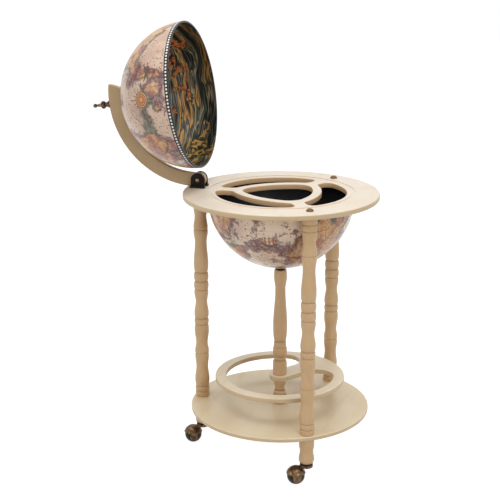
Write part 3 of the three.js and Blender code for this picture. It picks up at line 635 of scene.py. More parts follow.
@dataclass(frozen=True)
class Palette:
    """The finishes that need no place of their own."""

    # Painted light: the cream board top and the tan rims and undersides are lit and shaded copies
    # of one paint.
    lit_board_top: Finish = PaintedWood("lit_cream_board", (0.70, 0.61, 0.50), (0.67, 0.57, 0.45))
    wood: Finish = PaintedWood("shaded_tan_wood", (0.565, 0.425, 0.25), (0.535, 0.395, 0.225))
    # Painted light: a warmer copy of the tan paint on the openings' walls, for warm light bounced
    # into them.
    wall: Finish = PaintedWood("warm_lit_wall_wood", (0.70, 0.46, 0.25), (0.66, 0.43, 0.225))
    # Painted shade: a darker copy of the board's cream paint over the whole arm, for shade on its
    # sides.
    arm: Finish = PaintedWood("shaded_arm_wood", (0.39, 0.265, 0.133), (0.365, 0.243, 0.116), TAN_GRAIN_AND_GROOVE_SHADE)
    # Turned legs and posts, with painted shade in their grooves.
    turned: Finish = PaintedWood(
        "turned_satin", (0.565, 0.375, 0.195), (0.525, 0.335, 0.165), TAN_GRAIN_AND_GROOVE_SHADE, UPRIGHT_GRAIN, 0.95
    )
    shelf: Finish = PaintedWood("pale_shelf", (0.775, 0.655, 0.45), (0.74, 0.605, 0.40))
    # Painted light: a lighter copy of the shelf's paint on the plate's faces.
    plate: Finish = PaintedWood("lit_plate_face", (0.87, 0.75, 0.555), (0.84, 0.71, 0.50))
    amber: Finish = AmberWood("amber_wood")
    bronze: Finish = Metal("aged_bronze", (0.30, 0.18, 0.09), (0.030, 0.018, 0.012), 0.55, 0.28)
    brass: Finish = Metal("aged_brass", (0.52, 0.36, 0.17), (0.11, 0.065, 0.03), 0.42, 0.26)
    hood: Finish = Metal("hood_bronze", (0.19, 0.112, 0.056), (0.036, 0.021, 0.013), 0.42, 0.3)
    pivot: Finish = Metal("pivot_bronze", (0.34, 0.23, 0.12), (0.06, 0.035, 0.02), 0.5, 0.3)
    zinc: Finish = Metal("zinc_plate", (0.56, 0.57, 0.58), (0.30, 0.30, 0.31), 0.35, 0.3)
    bracket: Finish = Moulded(
        "dark_bracket", (0.012, 0.007, 0.0045), (0.024, 0.014, 0.008), 0.5, 0.12
    )
    ring: Finish = Moulded("dark_ring", (0.012, 0.009, 0.008), (0.026, 0.019, 0.016), 0.45, 0.2)
    ball: Finish = Moulded("black_ball", (0.008, 0.007, 0.008), (0.020, 0.018, 0.019), 0.34, 0.2)
    rim: Finish = Moulded("black_rim", (0.017, 0.016, 0.019), (0.05, 0.048, 0.052), 0.34, 0.3)
    lining: Finish = Moulded(
        "black_lining", (0.006, 0.006, 0.008), (0.011, 0.010, 0.014), 0.4, 0.25
    )


class Cut(Enum):
    """How a turned outline passes a point."""

    ROUND = "smooth crest or hollow"
    QUIRK = "sharp groove or edge"


R, Q = Cut.ROUND, Cut.QUIRK
Cuts = tuple[tuple[float, float, Cut], ...]

LEG_CUTS: Cuts = (
    (119.6, 15.3, Q), (123, 16.3, R), (129, 16.3, R), (132.3, 14.6, Q), (138, 16.6, R),
    (145.8, 14.6, Q), (163.5, 17.0, R), (195, 14.0, R), (221.5, 16.3, R), (228, 15.0, Q),
    (233.5, 16.5, R), (253.5, 13.8, R), (285, 16.9, R), (300.3, 14.5, Q), (308, 16.8, R),
    (315.5, 14.3, Q), (327, 16.9, R), (356, 13.6, R), (379, 16.5, R), (385.5, 14.7, Q),
    (396.3, 17.0, R), (406.3, 14.2, Q), (418, 16.9, R), (428.3, 14.0, Q), (447, 17.0, R),
    (500, 13.8, R), (526, 16.7, R), (531.5, 15.1, Q), (536, 16.5, R), (559.5, 13.7, R),
    (582, 16.0, R), (585, 14.6, Q), (592.5, 16.6, R), (600, 14.5, Q), (606, 16.5, R),
    (612, 16.5, R), (616.1, 15.9, Q),
)
FOOT_CUTS: Cuts = (
    (50.8, 13.2, Q), (60, 17.2, R), (78.5, 14.8, R), (93, 16.8, R), (104, 16.8, R), (110, 16.3, Q),
)
LEG_PARTS = (("leg", LEG_CUTS), ("foot", FOOT_CUTS))
UPPER_POST_CUTS: Cuts = (
    (190.5, 15.6, Q), (202, 16.3, R), (217, 16.3, R), (226.5, 12.9, Q), (231, 13.8, R),
    (236, 12.8, Q), (246, 16.5, R), (258, 14.8, Q), (262, 14.6, R), (269, 14.2, R),
    (272.5, 12.4, Q), (310, 16.5, R), (400, 11.8, R), (428.5, 15.1, R), (446, 13.2, Q),
)
LOWER_POST_CUTS: Cuts = (
    (119.6, 18.0, Q), (124.5, 18.9, R), (141, 12.4, Q), (146.3, 14.0, R), (151.5, 10.6, Q),
    (153.5, 10.9, R), (178, 15.5, R), (178.9, 15.3, Q),
)
COLLAR_CUTS: Cuts = ((0, 10.0, Q), (2, 10.6, R), (6.4, 10.6, R), (8.4, 9.6, Q))
FINIAL_CUTS: Cuts = (
    (0, 7.4, Q), (1.9, 7.9, R), (4.3, 7.0, Q), (5.2, 4.0, R), (8.5, 5.5, R), (11, 4.0, Q),
    (16.4, 9.2, R), (20.6, 4.6, Q), (22, 4.5, R), (27, 3.6, R), (31, 2.3, R), (32.6, 2.6, Q),
    (37.2, 4.6, R), (41.6, 0, Q),
)
PLUG_CUTS: Cuts = ((0.3, 8.4, Q), (1.6, 8.4, R), (6.2, 0, Q))
RING_CUTS: Cuts = ((0, 14.4, Q), (1.6, 14.4, R), (2.1, 13.6, Q), (2.6, 14.4, R), (4.2, 14.0, Q))


def turned_outline(cuts: Cuts, steps: int = CUT_STEPS) -> list[Point]:
    """The outline of a turned piece.

    Args:
        cuts: Height, radius and kind of cut at each crest, hollow or groove, in millimetres.
        steps: Points between two cuts.

    Returns:
        Radius and height of each point in metres, from the axis and back to it.
    """
    points = [(0.0, cuts[0][0])]
    for (z0, r0, before), (z1, r1, after) in zip(cuts, cuts[1:]):
        for i in range(steps):
            angle = QUARTER * i / steps
            along, across = i / steps, (1 - math.cos(2 * angle)) / 2
            if before is Q and after is R:
                along, across = 1 - math.cos(angle), math.sin(angle)
            elif before is R and after is Q:
                along, across = math.sin(angle), 1 - math.cos(angle)
            points.append((r0 + (r1 - r0) * across, z0 + (z1 - z0) * along))
    last_height, last_radius, _ = cuts[-1]
    points.append((last_radius, last_height))
    if last_radius:
        points.append((0.0, last_height))
    return [(radius * MM, height * MM) for radius, height in points]


def arc(x: float, y: float, radius: float, start: float, end: float, steps: int) -> list[Point]:
    """Points along an arc, its end included."""
    angles = [start + (end - start) * i / steps for i in range(steps + 1)]
    return [(x + radius * math.cos(a), y + radius * math.sin(a)) for a in angles]


def rim_outline(radius: float, bottom: float, top: float, edge: float) -> list[Point]:
    """Outline of a board's rounded rim, from its top face to its bottom face."""
    upper = arc(radius - edge, top - edge, edge, QUARTER, 0, CORNER_STEPS)
    return upper + arc(radius - edge, bottom + edge, edge, 0, -QUARTER, CORNER_STEPS)


def eased_levels(bottom: float, top: float, ease: float) -> list[Point]:
    """Ease and height of each level of an opening's wall, from the bottom up."""
    angles = [QUARTER * i / EASE_STEPS for i in range(EASE_STEPS, -1, -1)]
    rise = [(ease * (1 - math.cos(a)), ease * (1 - math.sin(a))) for a in angles]
    return [(out, bottom + up) for out, up in rise] + [(out, top - up) for out, up in rise[::-1]]


@dataclass(frozen=True)
class Arc:
    """One arc of an opening's outline; grows is -1 where a wider opening has a smaller radius."""

    x: float
    y: float
    radius: float
    start: float
    end: float
    grows: int = 1


@dataclass(frozen=True)
class Opening:
    """A closed outline of arcs, turned about the centre of its board."""

    arcs: tuple[Arc, ...]
    turn: float

    def points(self, ease: float) -> list[Point]:
        """The outline, moved outwards by an ease."""
        found: list[Point] = []
        for a in self.arcs:
            steps = max(2, math.ceil(abs(a.end - a.start) / OPENING_STEP))
            found += arc(a.x, a.y, a.radius + a.grows * ease, a.start, a.end, steps)[:-1]
        cos, sin = math.cos(self.turn), math.sin(self.turn)
        return [(x * cos - y * sin, x * sin + y * cos) for x, y in found]


def add_object(name: str, data: bpy.types.ID) -> bpy.types.Object:
    """Puts an object with its data in the scene."""
    made = bpy.data.objects.new(name, data)
    bpy.context.scene.collection.objects.link(made)
    return made


def add_mesh(name: str, bm: bmesh.types.BMesh) -> bpy.types.Object:
    """Puts a mesh in the scene, which ends the work on it."""
    mesh = bpy.data.meshes.new(name)
    bm.to_mesh(mesh)
    bm.free()
    return add_object(name, mesh)


class Shaper:
    """A mesh on the bench, with the operations that the pieces share."""

    def __init__(self) -> None:
        """Starts an empty mesh."""
        self.bm = bmesh.new()

    def turn(
        self, outline: Sequence[Point], steps: int = SMALL_STEPS, closed: bool = False
    ) -> None:
        """Spins an outline of radius and height about Z."""
        verts = [self.bm.verts.new((radius, 0.0, height)) for radius, height in outline]
        ends = [*verts[1:], verts[0]] if closed else verts[1:]
        edges = [self.bm.edges.new(pair) for pair in zip(verts, ends)]
        bmesh.ops.spin(
            self.bm, geom=verts + edges, cent=(0, 0, 0), axis=(0, 0, 1), dvec=(0, 0, 0),
            angle=FULL_TURN, steps=steps, use_merge=True,
        )
        self.weld()

    def weld(self) -> None:
        """Merges doubled points."""
        bmesh.ops.remove_doubles(self.bm, verts=self.bm.verts, dist=WELD)

    def loop(self, points: Sequence[Point], height: float) -> list[bmesh.types.BMEdge]:
        """A closed loop of edges at one height."""
        verts = [self.bm.verts.new((x, y, height)) for x, y in points]
        return [self.bm.edges.new(pair) for pair in zip(verts, [*verts[1:], verts[0]])]

    def wall(self, opening: Opening, levels: Sequence[Point]) -> None:
        """Skins an opening's wall through levels of ease and height."""
        loops = [self.loop(opening.points(ease), height) for ease, height in levels]
        for low, high in zip(loops, loops[1:]):
            bmesh.ops.bridge_loops(self.bm, edges=low + high)

    def close_flat(self, height: float) -> None:
        """Fills the flat face at a height between its open loops."""
        edges = [
            edge for edge in self.bm.edges
            if edge.is_boundary and all(abs(v.co.z - height) < LEVEL_SLACK for v in edge.verts)
        ]
        bmesh.ops.triangle_fill(self.bm, edges=edges, use_beauty=True)

    def slab(self, points: Sequence[Point], low: float, high: float, ease: float) -> None:
        """A prism along Y over points in the XZ plane, with its long edges eased."""
        face = self.bm.faces.new([self.bm.verts.new((x, low, z)) for x, z in points])
        made = bmesh.ops.extrude_face_region(self.bm, geom=[face])["geom"]
        moved = [item for item in made if isinstance(item, bmesh.types.BMVert)]
        bmesh.ops.translate(self.bm, verts=moved, vec=(0, high - low, 0))
        top = next(item for item in made if isinstance(item, bmesh.types.BMFace))
        bottom = min(
            (f for f in self.bm.faces if len(f.verts) == len(points) and f is not top),
            key=lambda f: abs(f.calc_center_median().y - low),
        )
        self.ease([*top.edges, *bottom.edges], ease)

    def ease(self, edges: Sequence[bmesh.types.BMEdge], width: float) -> None:
        """Rounds edges."""
        bmesh.ops.bevel(
            self.bm, geom=list(edges), offset=width, offset_type="OFFSET", segments=3,
            profile=0.5, affect="EDGES", material=-1, clamp_overlap=True,
        )

    def block(self, low: Vector, high: Vector, ease: float) -> None:
        """A box between two corners with eased edges."""
        matrix = Matrix.Translation((low + high) / 2) @ Matrix.Diagonal((*(high - low), 1.0))
        made = bmesh.ops.create_cube(self.bm, size=1.0, matrix=matrix)["verts"]
        self.ease({edge for vert in made for edge in vert.link_edges}, ease)

    def mark_grooves(self) -> None:
        """Stores how deep each point of a turned piece lies below the crests beside it, which sets
        the painted shade in its grooves.
        """
        layer = self.bm.verts.layers.float.new("groove")
        rings: dict[float, float] = {}
        for vert in self.bm.verts:
            height = round(vert.co.z, 5)
            rings[height] = max(rings.get(height, 0.0), Vector(vert.co[:2]).length)
        reach, slack, depth = 3.2 * MM, 0.45 * MM, 1.1 * MM
        grooves = {
            height: max(near for at, near in rings.items() if abs(at - height) < reach) - radius
            for height, radius in rings.items()
        }
        for vert in self.bm.verts:
            vert[layer] = min(1.0, max(0.0, (grooves[round(vert.co.z, 5)] - slack) / depth))

    def place(self, matrix: Matrix) -> None:
        """Moves the whole mesh."""
        bmesh.ops.transform(self.bm, matrix=matrix, verts=self.bm.verts)

    def finish(
        self, name: str, finishes: Sequence[Finish], choose: Optional[Choice], sharp: float
    ) -> bpy.types.Object:
        """Makes the object, at the origin, with shading that breaks at sharp edges."""
        self.weld()
        bmesh.ops.recalc_face_normals(self.bm, faces=self.bm.faces)
        for edge in self.bm.edges:
            edge.smooth = edge.is_manifold and edge.calc_face_angle(0.0) < math.radians(sharp)
        for face in self.bm.faces:
            face.smooth = True
            face.material_index = choose(face) if choose else 0
        made = add_mesh(name, self.bm)
        for finish in finishes:
            made.data.materials.append(finish.material())
        return made


def joint(name: str) -> dict:
    """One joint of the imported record."""
    return next(item for item in frame["joints"] if item["name"] == name)


@dataclass(frozen=True)
class Part:
    """A piece: its name, the body that it rides on, its slot and the solid that it stands for."""

    name: str
    body: str
    slot: str
    node: str


@dataclass
class SubAssembly:
    """What every sub-assembly does with its pieces."""

    finishes: Palette

    def seat(
        self, shaper: Shaper, part: Part, place: Matrix, finishes: Sequence[Finish],
        choose: Optional[Choice] = None, sharp: float = SHARP,
    ) -> None:
        """Moves a mesh to its place and lets it ride on its body instead of its solid.

        Args:
            shaper: The mesh.
            part: What it is.
            place: Where it goes.
            finishes: Its finishes.
            choose: Gives the number of a face's finish; the first one where left out.
            sharp: Angle in degrees above which an edge shows as an edge.
        """
        shaper.place(place)
        piece = shaper.finish(part.name, finishes, choose, sharp)
        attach(piece, part.body)
        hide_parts(part.node)
        log.info("%s on %s, %d faces", piece.name, part.body, len(piece.data.polygons))

    def dress(self, finish: Finish, *nodes: str) -> None:
        """Gives solids that stay in sight their finish."""
        for node in nodes:
            mesh = frame["nodes"][node].data
            mesh.materials.clear()
            mesh.materials.append(finish.material())
            log.info("%s keeps its solid, in %s", node, finish.name)

    def turned(self, node: str, cuts: Cuts, finish: Finish, slot: str) -> None:
        """Turns a smooth piece that fits an upright node's box."""
        low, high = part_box(node)
        centre = (low + high) / 2
        outline = turned_outline(cuts)
        first, last = outline[0][1], outline[-1][1]
        stretch = (high.z - low.z) / (last - first)
        shaper = Shaper()
        shaper.turn([(radius, (height - first) * stretch) for radius, height in outline])
        shaper.mark_grooves()
        place = Matrix.Translation((centre.x, centre.y, low.z))
        part = Part(f"{node}_turned", "stand", slot, node)
        self.seat(shaper, part, place, [finish], sharp=TURNED_SHARP)

    def turned_on(
        self, part: Part, cuts: Cuts, place: Matrix, finish: Finish, steps: int = CUT_STEPS
    ) -> None:
        """Turns a piece about the Z axis of a place."""
        shaper = Shaper()
        shaper.turn(turned_outline(cuts, steps))
        self.seat(shaper, part, place, [finish])

    def flat(
        self, part: Part, outline: Sequence[Point], openings: Sequence[Opening], ease: float,
        finishes: Sequence[Finish], wall_reach: float = 0.0,
    ) -> None:
        """Makes a round board.

        Args:
            part: What it is.
            outline: Radius and height of its outside, from the top face to the bottom face.
            openings: What is cut through it.
            ease: Rounding of the openings' edges.
            finishes: Those of its rim and underside, its top and its openings' walls.
            wall_reach: Radius that the openings lie within.
        """
        low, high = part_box(part.node)
        centre = (low + high) / 2
        shaper = Shaper()
        shaper.turn(outline, ROUND_STEPS)
        for opening in openings:
            shaper.wall(opening, eased_levels(low.z, high.z, ease))
        shaper.close_flat(high.z)
        shaper.close_flat(low.z)

        def choose(face: bmesh.types.BMFace) -> int:
            """Rim and underside, top, or wall of an opening."""
            # Faces that point up take the lit copy of the paint, the others the shaded one.
            if face.normal.z > UPWARD:
                return 1
            out = face.calc_center_median() - centre
            # The openings' walls take the warmer, painted-light copy of the paint.
            return 2 if math.hypot(out.x, out.y) < wall_reach else 0

        self.seat(shaper, part, Matrix.Translation((centre.x, 0, 0)), finishes, choose)


@dataclass
class TopBoard(SubAssembly):
    """The pierced top board with the lid's seat, and its amber plugs."""

    rim_round: float = 0.0032
    seat_inner: float = 0.1576
    seat_outer: float = 0.1674
    seat_depth: float = 0.0009
    socket_inner: float = 0.1601
    socket_outer: float = 0.1653
    socket_depth: float = 0.004
    ease: float = 0.0014
    opening_outer: float = 0.1475
    rib_width: float = 0.029
    fillet: float = 0.015
    curve_offset: float = 0.085
    kidney_inner: float = 0.175
    triangle_side: float = 0.155
    triangle_corner: float = 0.035
    turn: float = math.radians(2.36)

    def kidney(self, turn: float) -> Opening:
        """One of the three curved openings.

        Args:
            turn: Its direction from the centre in radians.

        Returns:
            The opening.
        """
        rib = SIXTH_TURN
        half_rib = self.rib_width / 2 + self.fillet
        reach = self.opening_outer - self.fillet
        outer = rib - math.asin(half_rib / reach)
        along = Vector((math.cos(rib), math.sin(rib)))
        offset = Vector((along.y * half_rib + self.curve_offset, -along.x * half_rib))
        projected = along.dot(offset)
        far = self.kidney_inner + self.fillet
        run = math.sqrt(projected**2 - offset.length_squared + far**2) - projected
        inner = along * run + offset
        bend = math.atan2(inner.y, inner.x)
        x, y = inner.x - self.curve_offset, inner.y
        ox, oy = reach * math.cos(outer), reach * math.sin(outer)
        return Opening((
            Arc(0, 0, self.opening_outer, -outer, outer),
            Arc(ox, oy, self.fillet, outer, rib + QUARTER),
            Arc(x, y, self.fillet, rib + QUARTER, bend + HALF_TURN),
            Arc(-self.curve_offset, 0, self.kidney_inner, bend, -bend, -1),
            Arc(x, -y, self.fillet, HALF_TURN - bend, 3 * QUARTER - rib),
            Arc(ox, -oy, self.fillet, -rib - QUARTER, -outer),
        ), turn)

    def triangle(self) -> Opening:
        """The rounded triangle in the middle."""
        rib, curve = SIXTH_TURN, self.curve_offset
        span = self.triangle_side - self.triangle_corner
        corner = (math.sqrt(4 * span**2 - 3 * curve**2) - curve) / 2
        half = math.atan2(corner * math.sin(rib), corner * math.cos(rib) + curve)
        arcs: list[Arc] = []
        for k in range(3):
            side, tip = k * THIRD_TURN, k * THIRD_TURN + rib
            x, y = -curve * math.cos(side), -curve * math.sin(side)
            arcs.append(Arc(x, y, self.triangle_side, side - half, side + half))
            x, y = corner * math.cos(tip), corner * math.sin(tip)
            arcs.append(Arc(x, y, self.triangle_corner, side + half, side + THIRD_TURN - half))
        return Opening(tuple(arcs), self.turn)

    def build(self) -> None:
        """Makes the board and its plugs."""
        low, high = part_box("board")
        bottom, top = low.z, high.z
        seat, socket = top - self.seat_depth, bottom + self.socket_depth
        outline = [
            (self.seat_inner, top), (self.seat_inner, seat),
            (self.seat_outer, seat), (self.seat_outer, top),
            *rim_outline((high.y - low.y) / 2, bottom, top, self.rim_round),
            (self.socket_outer, bottom), (self.socket_outer, socket),
            (self.socket_inner, socket), (self.socket_inner, bottom),
        ]
        kidneys = (self.kidney(self.turn + k * THIRD_TURN) for k in range(3))
        openings = [*kidneys, self.triangle()]
        part = Part("top_board", "stand", "cream_paint", "board")
        finishes = [self.finishes.wood, self.finishes.lit_board_top, self.finishes.wall]
        self.flat(part, outline, openings, self.ease, finishes, self.seat_inner)
        for name in ("front", "back"):
            self.turned(f"plug_{name}", PLUG_CUTS, self.finishes.amber, "plug_wood")
        self.dress(self.finishes.zinc, *(f"leg_bolt_{name}" for name in LEGS))


@dataclass
class Shelves(SubAssembly):
    """The bottom shelf and the bottle plate."""

    edge_round: float = 0.0024
    ease: float = 0.0014
    plate_inner: float = 0.126
    boss: float = 0.024
    fillet: float = 0.038
    arm_angle: float = math.radians(52.4)

    def opening(self) -> Opening:
        """The bottle plate's opening round the boss and its arm."""
        reach, rise = self.plate_inner - self.fillet, self.boss + self.fillet
        run, start = math.sqrt(reach**2 - rise**2), math.asin(rise / reach)
        return Opening((
            Arc(0, 0, self.plate_inner, start, FULL_TURN - start),
            Arc(run, -rise, self.fillet, -start, QUARTER),
            Arc(0, 0, self.boss, 3 * QUARTER, QUARTER, -1),
            Arc(run, rise, self.fillet, -QUARTER, start),
        ), self.arm_angle)

    def build(self) -> None:
        """Makes both boards."""
        for node, openings in (("shelf", []), ("plate", [self.opening()])):
            low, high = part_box(node)
            outline = rim_outline((high.y - low.y) / 2, low.z, high.z, self.edge_round)
            part = Part(f"{node}_board", "stand", "pale_wood", node)
            # The plate's paint is the lighter, painted-light copy of the shelf's.
            finishes = [self.finishes.wood, getattr(self.finishes, node)]
            self.flat(part, outline, openings, self.ease, finishes)


@dataclass
class Frame(SubAssembly):
    """Legs, feet, centre posts and the hardware inside them."""

    def build(self) -> None:
        """Makes the turned pieces and dresses the hardware."""
        legs = ((f"{part}_{name}", cuts) for name in LEGS for part, cuts in LEG_PARTS)
        for node, cuts in (*legs, ("post_upper", UPPER_POST_CUTS), ("post_lower", LOWER_POST_CUTS)):
            self.turned(node, cuts, self.finishes.turned, "turned_wood")
        self.turned("post_collar", COLLAR_CUTS, self.finishes.ring, "dark_plastic")
        self.dress(self.finishes.zinc, *(f"leg_rod_{name}" for name in LEGS))
        nodes = ("post_rod", "post_nut", "post_washer", "bowl_bolt", "bowl_washer")
        self.dress(self.finishes.zinc, *nodes)


@dataclass
class Globes(SubAssembly):
    """The bowl and the dome, with their prints and linings."""

    wall: float = 0.004
    hole: float = 0.0033
    edge: float = 0.0008
    rows: int = 48

    def bowl_globe(self) -> Globe:
        """Frame of the bowl, its pole downwards."""
        low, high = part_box("bowl")
        centre = (low + high) / 2
        centre.z = high.z
        return Globe(centre, Vector((0, 0, -1)), Vector((1, 0, 0)), (high.y - low.y) / 2)

    def dome_globe(self) -> Globe:
        """Frame of the dome, its pole along its turning axis."""
        turn = joint("dome_turn")
        low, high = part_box("dome")
        pole = Vector(turn["axis"]).normalized()
        east = Vector((0, 1, 0)).cross(pole)
        return Globe(Vector(turn["pos_m"]), pole, east, (high.y - low.y) / 2)

    def shell(self, part: Part, globe: Globe, skin: Finish, lining: Finish) -> None:
        """One half globe: outside print, rim and lining.

        Args:
            part: What it is.
            globe: Its frame.
            skin: Its print.
            lining: Its inside.
        """
        outer, inner, edge = globe.radius, globe.radius - self.wall, self.edge
        outline = arc(0, 0, outer, QUARTER - self.hole / outer, 0, self.rows)
        outline[-1] = (outer, edge)
        outline += [(outer - edge, 0.0), (inner + edge, 0.0)]
        outline += arc(0, 0, inner, edge / inner, QUARTER - self.hole / inner, self.rows)
        shaper = Shaper()
        shaper.turn(outline, ROUND_STEPS, closed=True)

        def choose(face: bmesh.types.BMFace) -> int:
            """Print outside, lining inside, rim where the wall is cut."""
            spot = face.calc_center_median() - globe.centre
            if spot.dot(globe.pole) < 1.5 * edge:
                return 1
            return 0 if spot.length > (outer + inner) / 2 else 2

        finishes = [skin, self.finishes.rim, lining]
        self.seat(shaper, part, globe.matrix(), finishes, choose)

    def build(self) -> None:
        """Makes both half globes and dresses the dome's hardware."""
        bowl, dome = self.bowl_globe(), self.dome_globe()
        # Painted light: the bowl's sea is a lighter copy of the dome's, standing in for more light
        # on the bowl.
        bowl_print = MapPrint(
            "bowl_map", bowl, (1.3, 4.1, 0.6),
            ((150.0, 26.0, 46.0, 0.15), (28.0, 30.0, 40.0, 0.15), (270.0, 30.0, 50.0, 0.14)),
            (200.0, 38.0), ((27.0, 44.0, 42.0), (50.0, 90.0, 60.0)), -1.0, False,
            sea=(0.72, 0.575, 0.45), aged_sea=(0.60, 0.44, 0.34),
        )
        dome_print = MapPrint(
            "dome_map", dome, (5.2, 0.8, 2.9),
            ((352.0, 38.0, 40.0, 0.16), (214.0, 22.0, 42.0, 0.15), (90.0, 30.0, 55.0, 0.14)),
            (277.0, 25.0), ((20.0, 52.0, 42.0), (56.0, 90.0, 10.0)), 1.0, True,
        )
        part = Part("bowl_shell", "stand", "globe_lacquer", "bowl")
        self.shell(part, bowl, bowl_print, self.finishes.lining)
        part = Part("dome_shell", "half_globe", "globe_lacquer", "dome")
        self.shell(part, dome, dome_print, StreakedLining("dome_lining", dome))
        self.dress(self.finishes.brass, "dome_washer", "dome_nut")


@dataclass
class LidArm(SubAssembly):
    """The curved arm with its spacer, stud and finial, built closed with the pole upwards."""

    dome: Globe
    inner: float = 0.17587
    outer: float = 0.20727
    shift: float = 0.0026
    drop: float = 0.0043
    ease: float = 0.0016
    tip_past: float = math.radians(13.35)
    tip_round: float = 0.01
    spacer: float = 0.0068
    seam: float = 0.0003
    steps: int = 60
    eye_steps: int = 16
    tip_steps: int = 12

    def build(self) -> None:
        """Makes the arm and what is on the pole."""
        low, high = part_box("arm")
        half_width = (high.y - low.y) / 2
        off = Vector((-self.shift, 0.0, -self.drop))
        hinge = self.dome.matrix().inverted() @ Vector(joint("lid_hinge")["pos_m"]) - off
        distance = math.hypot(hinge.x, hinge.z)
        eye = self.outer - distance
        angle = math.atan2(hinge.z, hinge.x)
        start = QUARTER - self.tip_past
        chord = self.inner**2 - distance**2 - eye**2
        end = angle + math.acos(chord / (2 * distance * eye))
        foot_x, foot_z = hinge.x + eye * math.cos(end), hinge.z + eye * math.sin(end)
        blunt = start + math.asin(self.tip_round / self.inner)
        outline = arc(0, 0, self.outer, start, angle, self.steps)
        outline += arc(hinge.x, hinge.z, eye, angle, end, self.eye_steps)[1:]
        outline += arc(0, 0, self.inner, math.atan2(foot_z, foot_x), blunt, self.steps)[1:]
        outline += self.tip(start)
        shaper = Shaper()
        shaper.slab(outline, -half_width, half_width, self.ease)
        part = Part("curved_arm", "lid", "cream_paint", "arm")
        place = self.dome.matrix() @ Matrix.Translation(off)
        # The arm's paint is a darker copy of the board's, as painted shade.
        self.seat(shaper, part, place, [self.finishes.arm])
        face = self.outer - self.drop + self.seam
        self.on_pole("finial", FINIAL_CUTS, face, self.finishes.bronze)
        gap = (self.inner - self.drop - self.dome.radius) / MM
        radius, neck, waist = (self.spacer / MM * share for share in (1, 0.9, 0.72))
        spacer: Cuts = (
            (0.3, neck, Q), (1.8, radius, R), (gap * 0.4, waist, R),
            (gap * 0.6, waist, R), (gap - 2.0, radius, R), (gap - 0.6, neck, Q),
        )
        self.on_pole("dome_spacer", spacer, self.dome.radius, self.finishes.brass)
        self.dress(self.finishes.zinc, "finial_stud")

    def tip(self, start: float) -> list[Point]:
        """The rounded inner corner at the arm's free end, as a quarter of an ellipse.

        Args:
            start: Angle of the end face about the arm's centre.

        Returns:
            The points between the inside of the arm and its end face.
        """
        depth = self.outer - math.sqrt(self.inner**2 - self.tip_round**2)
        cosine, sine = math.cos(start), math.sin(start)
        points = []
        for x, y in arc(0, 0, 1, -HALF_TURN, -QUARTER, self.tip_steps)[1:-1]:
            along, across = self.outer + depth * x, self.tip_round * (1 + y)
            points.append((along * cosine - across * sine, along * sine + across * cosine))
        return points

    def on_pole(self, node: str, cuts: Cuts, start: float, finish: Finish) -> None:
        """Turns a piece on the dome's pole, from a distance off its centre."""
        part = Part(f"{node}_turned", "lid", "antique_brass", node)
        place = self.dome.matrix() @ Matrix.Translation((0, 0, start))
        self.turned_on(part, cuts, place, finish)


@dataclass
class Hinge(SubAssembly):
    """The dark bracket, its brass pivot and screws."""

    cheek: float = 0.0163
    cheek_in: float = 0.0075
    cheek_out: float = 0.0143
    cheek_steps: int = 28
    side: float = 0.0008
    flange: float = 0.005
    step: float = 0.0044
    sink: float = 0.003
    skin: float = 0.0003
    ease: float = 0.0009
    foot_ease: float = 0.0012
    head: float = 0.0046
    head_height: float = 0.0028
    pin: float = 0.003

    def build(self) -> None:
        """Makes the bracket and the pivot, and dresses the rest."""
        spot = Vector(joint("lid_hinge")["pos_m"])
        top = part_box("board")[1].z - spot.z
        bottom = top - self.sink
        half, width = self.cheek + self.side, self.cheek_out + self.flange
        shaper = Shaper()
        base = Vector((half, width, top - self.skin))
        shaper.block(Vector((-half, -width, bottom)), base, self.skin)
        for side in (-1, 1):
            low, high = sorted((side * self.cheek_in, side * self.cheek_out))
            outline = [(-self.cheek, bottom), (self.cheek, bottom)]
            outline += arc(0, 0, self.cheek, 0, HALF_TURN, self.cheek_steps)
            shaper.slab(outline, low, high, self.ease)
            low, high = sorted((side * self.cheek_in, side * width))
            foot = Vector((half, high, top + self.step))
            shaper.block(Vector((-half, low, bottom)), foot, self.foot_ease)
        part = Part("hinge_cheeks", "stand", "dark_bronze", "hinge_bracket")
        self.seat(shaper, part, Matrix.Translation(spot), [self.finishes.bracket])
        self.pivot(spot)
        self.dress(self.finishes.brass, "hinge_nut", "bracket_screw_0", "bracket_screw_1")

    def pivot(self, spot: Vector) -> None:
        """Turns the pivot with its domed head towards the front.

        Args:
            spot: The hinge's place.
        """
        low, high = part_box("hinge_pin")
        front, back = (spot.y - low.y) / MM, (high.y - spot.y) / MM
        head, radius = self.head / MM, self.pin / MM
        neck = front - self.head_height / MM
        cuts: Cuts = (
            (-back, radius - 0.4, Q), (0.6 - back, radius, R), (neck - 0.01, radius, R),
            (neck, head - 0.2, R), (neck + 0.6, head, R), (front, 0, R),
        )
        part = Part("hinge_pivot", "stand", "antique_brass", "hinge_pin")
        place = Matrix.Translation(spot) @ Matrix.Rotation(QUARTER, 4, "X")
        self.turned_on(part, cuts, place, self.finishes.pivot)


